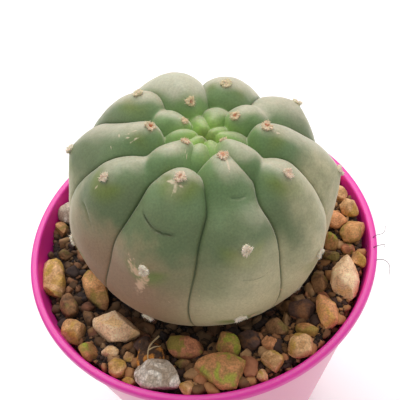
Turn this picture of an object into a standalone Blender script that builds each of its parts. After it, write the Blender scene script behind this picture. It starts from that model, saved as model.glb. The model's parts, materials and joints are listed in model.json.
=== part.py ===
"""A small ribbed cactus without spines in a round plastic pot, with gravel laid on its soil.

Run with: blender --background --python part.py
Lengths below are millimetres and angles are degrees; a mesh is scaled to metres as it is made.
The origin is the centre of the pot's foot, on the surface it stands on, and +Z is up.
"""

import math
import random

import bmesh
import bpy
import numpy as np
from mathutils import Matrix, Vector
from mathutils.bvhtree import BVHTree

MM = 0.001
GAP = 0.3  # clearance between two pieces that touch

# Pot: a moulded tapered shell with a turned-over lip.
POT_HEIGHT = 66.0
RIM_RADIUS = 40.0
LIP_WIDTH = 1.8
LIP_DEPTH = 1.9
EDGE_ROUND = 0.6
WALL = 1.1
FOOT_RADIUS = 24.6
FOOT_RING = 5.0  # width of the flat ring that the pot stands on
FOOT_RECESS = 1.2  # how far the floor is raised inside that ring
FLOOR = 1.4
POT_SEGMENTS = 72
DRAIN_HOLES = 6
DRAIN_RADIUS = 2.3
DRAIN_CIRCLE = 12.5

# Soil: a plug whose top lies below the lip.
SOIL_TOP = POT_HEIGHT - 5.2
SOIL_ROLL = 0.35  # height of its gentle unevenness
SOIL_SLOPE = 0.015  # rise towards +X
SOIL_RINGS = 13
SOIL_SEGMENTS = 60

# Plant: a flattened globe of tubercles, leaning a little.
BODY_CENTRE = (2.0, 2.0, POT_HEIGHT + 16.5)
LEAN_X = 10.0
LEAN_Y = 4.0
BODY_RADIUS = 29.7
CROWN_HEIGHT = 21.5
BASE_DEPTH = 26.0
CROWN_DIP = 5.0
DIP_RADIUS = 9.0
UPPER_POWER = 2.15
LOWER_POWER = 2.3
SHOULDER_HEIGHT = -24.0  # where the globe's underside turns into the neck
COLLAR_RADIUS = 7.0  # the neck that goes into the soil
COLLAR_HEIGHT = -27.0
RIBS = 10
BODY_COLUMNS = 8 * RIBS
BODY_ROWS = 38

# Growth rule: each node bears two opposite areoles, and the next node is turned by TURN.
TURN = 72.0
FIRST_AZIMUTH = -44.0
YOUNGEST = -9
OLDEST = 15
ARC_LIMIT = 61.0  # distance along the meridian that an old node tends to
ARC_MIDDLE = 7.2
ARC_RATE = 3.1

# Each rib stands where the rule puts it, but for a few degrees.
RIB_SHIFT = {0: 3, 1: 2, 2: 2, 3: 2, 4: 7, 5: 2, 6: -2, 7: -9, 8: -5, 9: 0}
# Tubercles that left the rule while they grew: (node, side): (degrees, millimetres).
STRAYS = {(0, 0): (-12, 0), (0, 1): (10, 0), (1, 1): (10, -1), (2, 0): (0, -1), (3, 0): (8, 0),
          (8, 0): (-5, 0), (5, 1): (0, -2), (6, 0): (0, 2.5), (9, 0): (0, -2.5), (10, 0): (0, -2),
          (11, 1): (-5, 0)}

# A tubercle is a dome: its radii of curvature, in millimetres, grow with its distance from the apex.
ACROSS_YOUNG = 1.4
ACROSS_GROWTH = 0.0165  # times the square of the distance
AGES = (0, 4, 9, 15, 20, 26, 33)  # distances at which the two lists below hold
INWARD_CURVES = (0.6, 1.3, 2.6, 4.5, 9, 20, 45)  # steep towards the crown
OUTWARD_CURVES = (1, 3, 9, 40, 60, 60, 60)  # long and gentle towards the base
BLEND = 0.35  # how deep two tubercles of one rib run together
BLEND_AGES = (0, 10, 20, 40)
BLEND_SHARES = (0.15, 0.5, 1.0, 1.5)
GROOVE_ENDS = (40, 54, 62)  # distances over which the grooves die out
GROOVE_DEPTHS = (1.0, 0.5, 0.0)
FAR = 99.0  # deeper than any dome

STONE_SEED = 11
BACK_STONES = 15

# Gravel that was laid round the plant:
# (azimuth, distance from the pot's axis, length, width, height, turn, kind)
LAID_STONES = (
    (184, 34.0, 12.5, 4.6, 4.0, 92, "tan"),
    (194, 27.5, 11.0, 4.4, 4.2, 104, "orange"),
    (195, 32.5, 5.8, 4.2, 3.8, 95, "brown"),
    (203, 30.3, 4.6, 2.4, 2.6, 104, "brown"),
    (208, 34.0, 6.2, 5.0, 3.8, 113, "tan"),
    (219, 27.6, 9.9, 6.6, 4.2, 143, "pale"),
    (224, 31.5, 3.7, 2.6, 2.4, 155, "pale"),
    (217, 34.6, 5.0, 3.6, 3.0, 124, "green"),
    (231, 34.2, 4.8, 3.6, 3.2, 119, "tan"),
    (232, 30.8, 2.7, 2.4, 2.2, 117, "tan"),
    (236, 27.8, 4.6, 3.0, 2.6, 30, "dark"),
    (243, 28.8, 4.6, 2.8, 2.6, 128, "dark"),
    (250, 33.4, 9.0, 6.0, 4.6, 160, "grey"),
    (251, 29.0, 3.2, 2.4, 2.4, 163, "brown"),
    (252, 24.6, 8.4, 5.6, 4.2, 165, "red"),
    (240, 35.3, 2.8, 1.8, 2.0, 157, "tan"),
    (274, 25.2, 6.0, 4.6, 4.2, 109, "green"),
    (286, 26.6, 5.2, 4.2, 3.6, 105, "dark"),
    (269, 31.0, 12.0, 7.0, 4.6, 160, "green"),
    (261, 35.0, 3.9, 3.0, 2.8, 115, "tan"),
    (288, 33.6, 4.8, 4.2, 3.6, 118, "tan"),
    (300, 26.4, 5.2, 3.8, 3.4, 127, "brown"),
    (281, 35.2, 3.0, 2.4, 2.4, 139, "tan"),
    (294, 30.2, 4.5, 3.0, 3.0, 147, "peach"),
    (302, 33.2, 6.2, 5.2, 4.0, 155, "tan"),
    (311, 34.0, 6.0, 2.8, 2.8, 155, "orange"),
    (315, 28.0, 5.6, 4.8, 3.6, 130, "dark"),
    (322, 32.8, 10.2, 3.8, 3.8, 86, "peach"),
    (328, 28.2, 4.9, 3.4, 3.2, 89, "brown"),
    (342, 28.6, 4.3, 3.4, 3.0, 105, "green"),
    (336, 29.4, 4.8, 2.6, 2.6, 149, "brown"),
    (332, 34.0, 10.2, 5.8, 5.0, 84, "pale"),
    (342, 33.4, 3.6, 3.0, 3.0, 116, "tan"),
    (352, 34.2, 6.0, 4.8, 4.4, 42, "orange"),
    (348, 31.6, 3.0, 2.4, 2.4, 138, "red"),
    (3, 34.4, 4.8, 4.0, 4.0, 123, "tan"),
    (359, 30.6, 5.8, 3.8, 3.4, 140, "peach"),
    (11, 34.2, 3.8, 3.2, 3.2, 100, "tan"),
    (21, 35.0, 4.4, 2.4, 3.0, 100, "pale"),
    (157, 34.4, 4.0, 3.0, 2.8, 126, "orange"),
    (170, 31.6, 3.4, 2.4, 2.4, 139, "brown"),
)

STONE_COLOURS = {
    "tan": (0.42, 0.29, 0.16), "orange": (0.45, 0.23, 0.09), "brown": (0.22, 0.14, 0.09),
    "pale": (0.62, 0.48, 0.34), "green": (0.24, 0.21, 0.10), "dark": (0.06, 0.045, 0.04),
    "grey": (0.40, 0.39, 0.38), "red": (0.33, 0.16, 0.10), "peach": (0.52, 0.32, 0.20),
}


def clear_scene():
    for thing in list(bpy.data.objects):
        bpy.data.objects.remove(thing)


def plain_material(name, colour, roughness):
    material = bpy.data.materials.new(name)
    material.use_nodes = True
    shader = material.node_tree.nodes["Principled BSDF"]
    shader.inputs["Base Color"].default_value = (*colour, 1.0)
    shader.inputs["Roughness"].default_value = roughness
    shader.inputs["Metallic"].default_value = 0.0
    return material


def add_piece(name, points, faces, material):
    """Make one named object from points in millimetres."""
    mesh = bpy.data.meshes.new(name)
    mesh.from_pydata([tuple(float(c) * MM for c in point) for point in points], [], faces)
    mesh.materials.append(material)
    mesh.shade_smooth()
    piece = bpy.data.objects.new(name, mesh)
    bpy.context.collection.objects.link(piece)
    return piece


def ring_faces(rows, columns):
    """Quads between the rows of a closed ring grid."""
    faces = []
    for row in range(rows - 1):
        for column in range(columns):
            following = (column + 1) % columns
            faces.append((row * columns + column, (row + 1) * columns + column,
                          (row + 1) * columns + following, row * columns + following))
    return faces


def end_fans(rows, columns):
    """Fans that close a ring grid onto the two points that follow its rows."""
    faces = []
    first_end = rows * columns
    last = (rows - 1) * columns
    for column in range(columns):
        following = (column + 1) % columns
        faces.append((first_end, column, following))
        faces.append((first_end + 1, last + following, last + column))
    return faces


# ---------------------------------------------------------------- pot

def inner_wall_radius(height):
    """Radius of the pot's inner wall at a height."""
    top = RIM_RADIUS - LIP_WIDTH
    slope = (top - (FOOT_RADIUS - WALL)) / POT_HEIGHT
    return top - slope * (POT_HEIGHT - height)


def pot_profile():
    """Section of the shell, from the underside's centre round the lip to the floor's centre."""
    under_lip = POT_HEIGHT - LIP_DEPTH
    floor_top = FOOT_RECESS + FLOOR
    edge = EDGE_ROUND
    section = [
        (FOOT_RADIUS - FOOT_RING - FOOT_RECESS, FOOT_RECESS),
        (FOOT_RADIUS - FOOT_RING, 0.0),
        (FOOT_RADIUS - edge, 0.0),
        (FOOT_RADIUS + 0.1, edge),
        (inner_wall_radius(under_lip) + WALL, under_lip),
        (RIM_RADIUS - edge / 2, under_lip),
        (RIM_RADIUS, under_lip + edge / 2),
    ]
    for turn in (0, 30, 60, 90):
        angle = math.radians(turn)
        section.append((RIM_RADIUS - edge + edge * math.cos(angle),
                        POT_HEIGHT - edge + edge * math.sin(angle)))
    for turn in (90, 135, 180):
        angle = math.radians(turn)
        section.append((RIM_RADIUS - LIP_WIDTH + edge + edge * math.cos(angle),
                        POT_HEIGHT - edge + edge * math.sin(angle)))
    section.append((inner_wall_radius(floor_top + edge), floor_top + edge))
    section.append((inner_wall_radius(floor_top) - edge, floor_top))
    return section


def make_pot():
    section = pot_profile()
    points = []
    for radius, height in section:
        for step in range(POT_SEGMENTS):
            angle = 2 * math.pi * step / POT_SEGMENTS
            points.append((radius * math.cos(angle), radius * math.sin(angle), height))
    faces = [face[::-1] for face in ring_faces(len(section), POT_SEGMENTS)]
    faces.append(tuple(range(POT_SEGMENTS))[::-1])
    faces.append(tuple(range(len(points) - POT_SEGMENTS, len(points))))
    pot = add_piece("pot", points, faces, plain_material("magenta_plastic", (0.78, 0.06, 0.36), 0.4))
    pot.data.set_sharp_from_angle(angle=math.radians(40))
    for hole in range(DRAIN_HOLES):
        angle = 2 * math.pi * hole / DRAIN_HOLES
        bpy.ops.mesh.primitive_cylinder_add(
            vertices=16, radius=DRAIN_RADIUS * MM, depth=4 * FLOOR * MM,
            location=(DRAIN_CIRCLE * math.cos(angle) * MM, DRAIN_CIRCLE * math.sin(angle) * MM,
                      (FOOT_RECESS + FLOOR / 2) * MM))
        cutter = bpy.context.object
        cutter.name = f"drain_cutter_{hole + 1}"
        cutter.hide_render = True
        cutter.display_type = "WIRE"
        cut = pot.modifiers.new(cutter.name, "BOOLEAN")
        cut.operation = "DIFFERENCE"
        cut.object = cutter
    return pot


# ---------------------------------------------------------------- plant

def crest_profile(samples=300):
    """The meridian on which every tubercle's tip lies: arc length, radius and height."""
    angle = np.linspace(0, math.pi / 2, samples)
    upper_radius = BODY_RADIUS * np.sin(angle) ** (2 / UPPER_POWER)
    upper_height = CROWN_HEIGHT * np.cos(angle) ** (2 / UPPER_POWER)
    upper_height -= CROWN_DIP * np.exp(-(upper_radius / DIP_RADIUS) ** 2)
    lower_height = np.linspace(0, SHOULDER_HEIGHT, samples)[1:]
    depth = np.abs(lower_height) / BASE_DEPTH
    lower_radius = BODY_RADIUS * (1 - depth ** LOWER_POWER) ** (1 / LOWER_POWER)
    radius = np.concatenate([upper_radius, lower_radius, [COLLAR_RADIUS]])
    height = np.concatenate([upper_height, lower_height, [COLLAR_HEIGHT]])
    steps = np.hypot(np.diff(radius), np.diff(height))
    return np.concatenate([[0.0], np.cumsum(steps)]), radius, height


def tubercles():
    """Every tubercle as (rib, azimuth in radians, arc length from the apex), youngest first."""
    found = []
    for node in range(YOUNGEST, OLDEST + 1):
        for side in (0, 1):
            rib = (2 * node + 5 * side) % RIBS
            turned, climbed = STRAYS.get((node, side), (0, 0))
            azimuth = FIRST_AZIMUTH + TURN * node + 180.0 * side + turned
            if node > 1:
                azimuth += RIB_SHIFT[rib]
            arc = ARC_LIMIT / (1 + math.exp((ARC_MIDDLE - node) / ARC_RATE)) + climbed
            found.append((rib, math.radians(azimuth), arc))
    return found


def crest_to_skin(arc, azimuth, profile):
    """How far the skin lies below the crests: domes blend along a rib and meet in a crease between ribs."""
    lengths, radii, _ = profile
    radius = np.interp(arc, lengths, radii)
    flatness = np.clip(np.interp(arc, lengths, np.gradient(radii, lengths)), 0, 1)
    across_curve = ACROSS_YOUNG + ACROSS_GROWTH * arc ** 2
    ribs = [np.full(arc.shape, FAR) for _ in range(RIBS)]
    for rib, centre, tip in tubercles():
        turn = (azimuth - centre + math.pi) % (2 * math.pi) - math.pi
        across = radius * np.sin(np.clip(turn, -math.pi / 2, math.pi / 2))
        along = arc - tip - radius * (1 - np.cos(turn)) * flatness
        curve = np.where(along < 0, np.interp(tip, AGES, INWARD_CURVES), np.interp(tip, AGES, OUTWARD_CURVES))
        dome = along ** 2 / (2 * curve) + across ** 2 / (2 * across_curve)
        dome = np.where(np.abs(turn) > math.pi / 2, FAR, dome)
        blend = BLEND * np.interp(tip, BLEND_AGES, BLEND_SHARES)
        share = np.clip(0.5 + 0.5 * (ribs[rib] - dome) / blend, 0, 1)
        ribs[rib] = ribs[rib] * (1 - share) + dome * share - blend * share * (1 - share)
    grooves_fade = np.interp(arc, GROOVE_ENDS, GROOVE_DEPTHS)
    return np.min(ribs, axis=0) * grooves_fade


def body_to_world():
    """Matrix that leans the plant and puts it in its place, in millimetres."""
    axis = Vector((math.sin(math.radians(LEAN_X)), math.sin(math.radians(LEAN_Y)), 1.0)).normalized()
    side = Vector((1, 0, 0)) - axis * axis.x
    side.normalize()
    front = axis.cross(side)
    turn = Matrix((side, front, axis)).transposed().to_4x4()
    return Matrix.Translation(BODY_CENTRE) @ turn


def make_cactus():
    profile = crest_profile()
    lengths, radii, heights = profile
    spread = np.linspace(0, 1, BODY_ROWS + 1)[1:]
    arcs = lengths[-1] * (0.6 * spread + 0.4 * spread ** 2)
    azimuths = np.radians(FIRST_AZIMUTH) + 2 * math.pi * np.arange(BODY_COLUMNS) / BODY_COLUMNS
    arc, azimuth = np.meshgrid(arcs, azimuths, indexing="ij")
    sunk = crest_to_skin(arc, azimuth, profile)
    slope_out = np.interp(arc, lengths, np.gradient(radii, lengths))
    slope_up = np.interp(arc, lengths, np.gradient(heights, lengths))
    radius = np.interp(arc, lengths, radii) + sunk * slope_up
    height = np.interp(arc, lengths, heights) - sunk * slope_out
    place = body_to_world()
    points = [place @ Vector((r * math.cos(a), r * math.sin(a), z))
              for r, a, z in zip(radius.flat, azimuth.flat, height.flat)]
    points.append(place @ Vector((0, 0, heights[0])))
    points.append(place @ Vector((0, 0, COLLAR_HEIGHT)))
    faces = ring_faces(BODY_ROWS, BODY_COLUMNS) + end_fans(BODY_ROWS, BODY_COLUMNS)
    return add_piece("cactus", points, faces, plain_material("cactus_skin", (0.17, 0.25, 0.15), 0.6))


# ---------------------------------------------------------------- soil

def soil_level(x, y):
    """The soil's gently uneven top, away from the plant."""
    roll = math.sin(0.21 * x + 1.0) * math.cos(0.17 * y - 0.4)
    return SOIL_TOP + SOIL_SLOPE * x + SOIL_ROLL * roll


def seat_level(centre, reach):
    """Height at which a stone of a given half length clears the soil."""
    around = [(centre.x + reach * math.cos(turn), centre.y + reach * math.sin(turn))
              for turn in (0, 1, 2, 3, 4, 5, 6)]
    return GAP + max(soil_level(x, y) for x, y in around + [tuple(centre)])


def height_under(tree, x, y, reach):
    """Lowest height of a piece above a spot and round it, or None where it isn't above."""
    lowest = None
    for ring in (0.0, 0.5, 1.0):
        for turn in range(8 if ring else 1):
            angle = math.pi * turn / 4
            start = Vector(((x + ring * reach * math.cos(angle)) * MM,
                            (y + ring * reach * math.sin(angle)) * MM, 0.0))
            hit = tree.ray_cast(start, Vector((0, 0, 1)))[0]
            if hit and (lowest is None or hit.z < lowest):
                lowest = hit.z
    return None if lowest is None else lowest / MM


def make_soil(cactus):
    tree = BVHTree.FromObject(cactus, bpy.context.evaluated_depsgraph_get())
    bottom = FOOT_RECESS + FLOOR + GAP
    side_gap = GAP + 0.2
    edge_top = inner_wall_radius(SOIL_TOP - 1.0) - side_gap
    edge_bottom = inner_wall_radius(bottom) - side_gap - EDGE_ROUND
    reach = edge_top / SOIL_RINGS

    def top_height(x, y):
        level = soil_level(x, y)
        under = height_under(tree, x, y, reach)
        return level if under is None else min(level, under - GAP)

    points = []
    for ring in range(1, SOIL_RINGS + 1):
        for step in range(SOIL_SEGMENTS):
            angle = 2 * math.pi * step / SOIL_SEGMENTS
            x = edge_top * ring / SOIL_RINGS * math.cos(angle)
            y = edge_top * ring / SOIL_RINGS * math.sin(angle)
            points.append((x, y, top_height(x, y)))
    for radius, height in ((edge_bottom + 1.0, bottom + 2.0), (edge_bottom, bottom)):
        for step in range(SOIL_SEGMENTS):
            angle = 2 * math.pi * step / SOIL_SEGMENTS
            points.append((radius * math.cos(angle), radius * math.sin(angle), height))
    points.append((0.0, 0.0, top_height(0.0, 0.0)))
    points.append((0.0, 0.0, bottom))
    rows = SOIL_RINGS + 2
    faces = ring_faces(rows, SOIL_SEGMENTS) + end_fans(rows, SOIL_SEGMENTS)
    return add_piece("soil", points, faces, plain_material("potting_mix", (0.035, 0.022, 0.015), 0.95))


# ---------------------------------------------------------------- stones

def back_stones(rng):
    """Gravel behind the plant: sizes and kinds drawn at random, spread evenly round the back."""
    kinds = sorted(STONE_COLOURS)
    found = []
    for number in range(BACK_STONES):
        azimuth = 32 + (148 - 32) * number / (BACK_STONES - 1)
        length = rng.uniform(4.0, 8.0)
        width = length * rng.uniform(0.6, 0.85)
        distance = 29.5 if number % 2 else 34.0
        found.append((azimuth, distance, length, width, width * 0.85, rng.uniform(0, 180), rng.choice(kinds)))
    return found


def spots_along(stone):
    """Circles that cover a stone's outline: offsets from its centre, and their radius."""
    _, _, length, width, _, turn, _ = stone
    count = max(1, math.ceil(1.6 * (length - width) / width) + 1)
    half = (length - width) / 2
    along = Vector((math.cos(math.radians(turn)), math.sin(math.radians(turn))))
    if count == 1:
        return [Vector((0, 0))], width / 2
    return [along * (half * (2 * step / (count - 1) - 1)) for step in range(count)], width / 2


def settle(stones, keep_out_centre, keep_out_radius):
    """Push stones apart, off the plant and off the wall until none is closer than the gap."""
    centres = [Vector((stone[1] * math.cos(math.radians(stone[0])),
                       stone[1] * math.sin(math.radians(stone[0])))) for stone in stones]
    outlines = [spots_along(stone) for stone in stones]
    wall = inner_wall_radius(SOIL_TOP)
    for _ in range(400):
        for one, (spots, radius) in enumerate(outlines):
            for spot in spots:
                place = centres[one] + spot
                excess = place.length + radius + 1.5 * GAP - wall
                if excess > 0:
                    centres[one] -= place.normalized() * excess
                away = place - keep_out_centre
                lack = keep_out_radius + radius + GAP - away.length
                if lack > 0:
                    centres[one] += away.normalized() * lack
            for other in range(one + 1, len(stones)):
                other_spots, other_radius = outlines[other]
                for spot in spots:
                    for other_spot in other_spots:
                        apart = centres[other] + other_spot - centres[one] - spot
                        lack = radius + other_radius + GAP - apart.length
                        if lack > 0:
                            push = apart.normalized() * (lack * 0.35)
                            centres[one] -= push
                            centres[other] += push
    return centres


def stone_shape(stone, rng):
    """A broken, worn pebble: a ball cut by random planes, drawn out to the stone's size."""
    _, _, length, width, height, turn, _ = stone
    mesh = bmesh.new()
    bmesh.ops.create_icosphere(mesh, subdivisions=3 if length > 8 else 2, radius=1.0)
    cuts = []
    for _ in range(9):
        normal = Vector((rng.gauss(0, 1), rng.gauss(0, 1), rng.gauss(0, 1))).normalized()
        cuts.append((normal, rng.uniform(0.72, 0.95)))
    for vertex in mesh.verts:
        direction = vertex.co.normalized()
        reach = 1.0
        for normal, distance in cuts:
            facing = direction.dot(normal)
            if facing > 0.05:
                reach = min(reach, distance / facing)
        vertex.co = direction * reach
    low = [min(vertex.co[axis] for vertex in mesh.verts) for axis in range(3)]
    high = [max(vertex.co[axis] for vertex in mesh.verts) for axis in range(3)]
    turned = Matrix.Rotation(math.radians(turn), 4, "Z")
    points = []
    for vertex in mesh.verts:
        along, across, up = ((vertex.co[axis] - low[axis]) / (high[axis] - low[axis]) for axis in range(3))
        points.append(turned @ Vector(((along - 0.5) * length, (across - 0.5) * width, up * height)))
    faces = [tuple(corner.index for corner in face.verts) for face in mesh.faces]
    mesh.free()
    return points, faces


def circle_round_foot(cactus, height):
    """Circle round the part of the plant that is lower than a height: its centre and radius."""
    low = [Vector(vertex.co[:2]) / MM for vertex in cactus.data.vertices if vertex.co.z < height * MM]
    centre = Vector([(min(p[axis] for p in low) + max(p[axis] for p in low)) / 2 for axis in range(2)])
    return centre, max((point - centre).length for point in low)


def make_stones(cactus):
    rng = random.Random(STONE_SEED)
    stones = list(LAID_STONES) + back_stones(rng)
    tallest = max(stone[4] for stone in stones)
    centres = settle(stones, *circle_round_foot(cactus, SOIL_TOP + GAP + tallest))
    materials = {kind: plain_material(f"stone_{kind}", colour, 0.85)
                 for kind, colour in STONE_COLOURS.items()}
    for number, (stone, centre) in enumerate(zip(stones, centres), start=1):
        points, faces = stone_shape(stone, rng)
        seat = seat_level(centre, stone[2] / 2)
        points = [(p.x + centre.x, p.y + centre.y, p.z + seat) for p in points]
        add_piece(f"stone_{number:02d}", points, faces, materials[stone[-1]])


clear_scene()
make_pot()
plant = make_cactus()
make_soil(plant)
make_stones(plant)
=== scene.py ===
# The looks of a small spineless ribbed cactus in a round plastic pot, with gravel laid on its soil.
# Lengths are millimetres and angles are degrees, and each finished mesh is scaled to metres.

import json
import math
from functools import partial

import bpy
import numpy as np
from mathutils import Matrix, Vector
from mathutils.bvhtree import BVHTree


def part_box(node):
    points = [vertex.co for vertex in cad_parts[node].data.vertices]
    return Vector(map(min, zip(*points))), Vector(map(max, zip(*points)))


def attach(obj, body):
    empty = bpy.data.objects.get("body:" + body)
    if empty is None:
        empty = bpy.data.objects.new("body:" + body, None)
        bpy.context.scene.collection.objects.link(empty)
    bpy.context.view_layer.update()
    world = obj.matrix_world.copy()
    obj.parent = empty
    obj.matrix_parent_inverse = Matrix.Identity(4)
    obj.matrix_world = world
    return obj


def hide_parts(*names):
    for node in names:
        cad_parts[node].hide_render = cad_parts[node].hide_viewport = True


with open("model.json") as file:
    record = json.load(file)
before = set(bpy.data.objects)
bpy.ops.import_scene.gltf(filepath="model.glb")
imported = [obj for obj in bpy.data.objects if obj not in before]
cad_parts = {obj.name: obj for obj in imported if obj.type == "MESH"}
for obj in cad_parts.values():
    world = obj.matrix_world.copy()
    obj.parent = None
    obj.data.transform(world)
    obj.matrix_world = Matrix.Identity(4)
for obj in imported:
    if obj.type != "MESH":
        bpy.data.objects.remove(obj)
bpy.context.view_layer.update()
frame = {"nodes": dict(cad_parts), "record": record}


# ---------------------------------------------------------------- pot
# A round flower pot of pink polypropylene, injection moulded in one piece with a thick turned-over lip.
# The lip is thick and looks magenta; the thin wall under it lets light through, and that light is painted
# into its colour as a pale pink (painted light).

MM = 0.001
RIM_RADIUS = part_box("pot")[1].x / MM
POT_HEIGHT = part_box("pot")[1].z / MM
LIP_WIDTH = 1.8
LIP_DEPTH = 1.9
LIP_ROUND = 0.6
LIP_UNDER_ROUND = 0.3
LIP_REACH = 4.0  # how far down the inside the lip's own plastic goes
WALL = 1.1
FOOT_RADIUS = 24.6
FOOT_RING = 5.0
FOOT_RECESS = 1.2
POT_FLOOR = 1.4
POT_SEGMENTS = 192
FOOT_STEPS = 5  # points round the foot's corner, under the lip, over it, up the wall and down inside
LIP_UNDER_STEPS = 4
LIP_STEPS = 7
WALL_STEPS = 14
INSIDE_STEPS = 12
WALL_START = 0.02  # share of the wall's height, so that it starts just above the foot's corner
DRAIN_HOLES = 6
DRAIN_RADIUS = 2.3
DRAIN_CIRCLE = 12.5
DRAIN_SEGMENTS = 32
SHARP_FROM = 40.0  # edges that bend more than this stay sharp
THICK_PLASTIC = "F63CB6"
THICK_SHADE = "E6309E"
# Painted light: the thin wall's pale pink stands for the light that comes through it.
THIN_WALL_PAINTED_LIGHT = "FBA8C4"
FLOW_SIZE = 12.0  # the slow drift of colour that the plastic's flow left
PEEL_SIZE = 0.8  # the orange peel of the mould, drawn a little coarser than it is


def linear(code):
    """An sRGB hex colour as Blender's linear red, green, blue and alpha."""
    parts = [int(code[start:start + 2], 16) / 255 for start in (0, 2, 4)]
    return tuple(c / 12.92 if c <= 0.04045 else ((c + 0.055) / 1.055) ** 2.4 for c in parts) + (1.0,)


def fill(node, *inputs, **named):
    """Set a node's inputs, by order or by name, to plain values, sockets or whole nodes."""
    shown = [socket for socket in node.inputs if socket.enabled]
    names = [socket.name.replace(" ", "_") for socket in shown]
    for key, value in (*enumerate(inputs), *named.items()):
        socket = shown[names.index(key) if key in names else key]
        if isinstance(value, bpy.types.Node):
            value = next(output for output in value.outputs if output.enabled)
        if isinstance(value, bpy.types.NodeSocket):
            node.id_data.links.new(value, socket)
        elif value is not None:
            socket.default_value = value
    return node


def add_node(tree, kind, *inputs, **named):
    """Add a node: its type and its menus' choices, then its inputs and, in small letters, other settings."""
    kind, *choices = kind.split()
    family = next(f for f in ("GeometryNode", "ShaderNode", "FunctionNode") if hasattr(bpy.types, f + kind))
    node = tree.nodes.new(family + kind)
    for choice in choices:
        menu = next(p for p in node.bl_rna.properties if p.type == "ENUM" and choice in p.enum_items)
        setattr(node, menu.identifier, choice)
    for setting in [name for name in named if name.islower()]:
        setattr(node, setting, named.pop(setting))
    return fill(node, *inputs, **named)


def start_material(name, **inputs):
    """A new material whose shader has these inputs; returns it, add_node() for its tree, and its shader."""
    material = bpy.data.materials.new(name)
    material.use_nodes = True
    shader = material.node_tree.nodes["Principled BSDF"]
    return material, partial(add_node, material.node_tree), fill(shader, **inputs)


def plastic_material():
    """Polypropylene from a polished mould: even, softly glossy, a little see-through; the thin wall's pale
    pink is painted light.
    """
    material, add, shader = start_material("moulded_polypropylene", Roughness=0.34, IOR=1.49,
                                           Subsurface_Weight=0.12, Subsurface_Scale=1.5 * MM)
    place = add("TexCoord").outputs["Object"]
    thin = add("Attribute", attribute_name="thin_wall").outputs["Fac"]
    flow = add("TexNoise", Vector=place, Scale=1 / (FLOW_SIZE * MM), Detail=2.0)
    drift = add("Mix RGBA", flow, linear(THICK_SHADE), linear(THICK_PLASTIC))
    peel = add("TexNoise", Vector=place, Scale=1 / (PEEL_SIZE * MM), Detail=3.0)
    # Where the wall is thin it gets the pale pink of painted light.
    fill(shader, Base_Color=add("Mix RGBA", thin, drift, linear(THIN_WALL_PAINTED_LIGHT)),
         Normal=add("Bump", Strength=0.12, Distance=0.05 * MM, Height=peel))
    return material


def inner_wall_radius(height):
    """Radius of the pot's inner wall at a height."""
    top = RIM_RADIUS - LIP_WIDTH
    slope = (top - (FOOT_RADIUS - WALL)) / POT_HEIGHT
    return top - slope * (POT_HEIGHT - height)


def arc_points(centre, radius, start, end, steps):
    """Points of an arc in the section, as (distance from the axis, height)."""
    angles = np.radians(np.linspace(start, end, steps))
    return [(centre[0] + radius * math.cos(a), centre[1] + radius * math.sin(a)) for a in angles]


def pot_section():
    """The shell's section from its underside round the lip to its floor, and where the wall is thin."""
    under_lip = POT_HEIGHT - LIP_DEPTH
    floor_top = FOOT_RECESS + POT_FLOOR
    round_height = POT_HEIGHT - LIP_ROUND
    base = [(FOOT_RADIUS - FOOT_RING - FOOT_RECESS, FOOT_RECESS), (FOOT_RADIUS - FOOT_RING, 0.0)]
    foot = arc_points((FOOT_RADIUS - LIP_ROUND, LIP_ROUND), LIP_ROUND, -90, 0, FOOT_STEPS)
    wall_top = inner_wall_radius(under_lip) + WALL
    wall = [(FOOT_RADIUS + (wall_top - FOOT_RADIUS) * t, LIP_ROUND + (under_lip - LIP_ROUND) * t)
            for t in np.linspace(WALL_START, 1, WALL_STEPS)]
    lip = arc_points((RIM_RADIUS - LIP_UNDER_ROUND, under_lip + LIP_UNDER_ROUND), LIP_UNDER_ROUND, -90, 0,
                     LIP_UNDER_STEPS)
    lip += arc_points((RIM_RADIUS - LIP_ROUND, round_height), LIP_ROUND, 0, 90, LIP_STEPS)
    lip += arc_points((RIM_RADIUS - LIP_WIDTH + LIP_ROUND, round_height), LIP_ROUND, 90, 180, LIP_STEPS)
    inside = [(inner_wall_radius(height), height)
              for height in np.linspace(POT_HEIGHT - LIP_REACH, floor_top + LIP_ROUND, INSIDE_STEPS)]
    inside.append((inner_wall_radius(floor_top) - LIP_ROUND, floor_top))
    thin = [0.0] * len(base) + [1.0] * (len(foot) + len(wall)) + [0.0] * (len(lip) + len(inside))
    return base + foot + wall + lip + inside, thin


def turned_mesh(name, section, segments):
    """A closed mesh turned from a section whose two ends are flat discs."""
    mesh = bpy.data.meshes.new(name)
    angles = [2 * math.pi * step / segments for step in range(segments)]
    points = [(r * math.cos(a) * MM, r * math.sin(a) * MM, z * MM) for r, z in section for a in angles]
    faces = []
    for row in range(0, segments * (len(section) - 1), segments):
        for step in range(segments):
            following = (step + 1) % segments
            faces.append((row + step, row + following, row + segments + following, row + segments + step))
    faces.append(tuple(range(segments))[::-1])
    faces.append(tuple(range(len(points) - segments, len(points))))
    mesh.from_pydata(points, [], faces)
    return mesh


def show(name, data, material=None):
    """Put a finished mesh or a curve in the scene as a piece at the origin."""
    piece = bpy.data.objects.new(name, data)
    bpy.context.collection.objects.link(piece)
    if material:
        data.materials.clear()
        data.materials.append(material)
    return piece


def evaluated_mesh(thing):
    """The plain mesh that an object's modifiers make; the modifiers are then removed."""
    depsgraph = bpy.context.evaluated_depsgraph_get()
    mesh = bpy.data.meshes.new_from_object(thing.evaluated_get(depsgraph), preserve_all_data_layers=True,
                                           depsgraph=depsgraph)
    thing.modifiers.clear()
    return mesh


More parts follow.
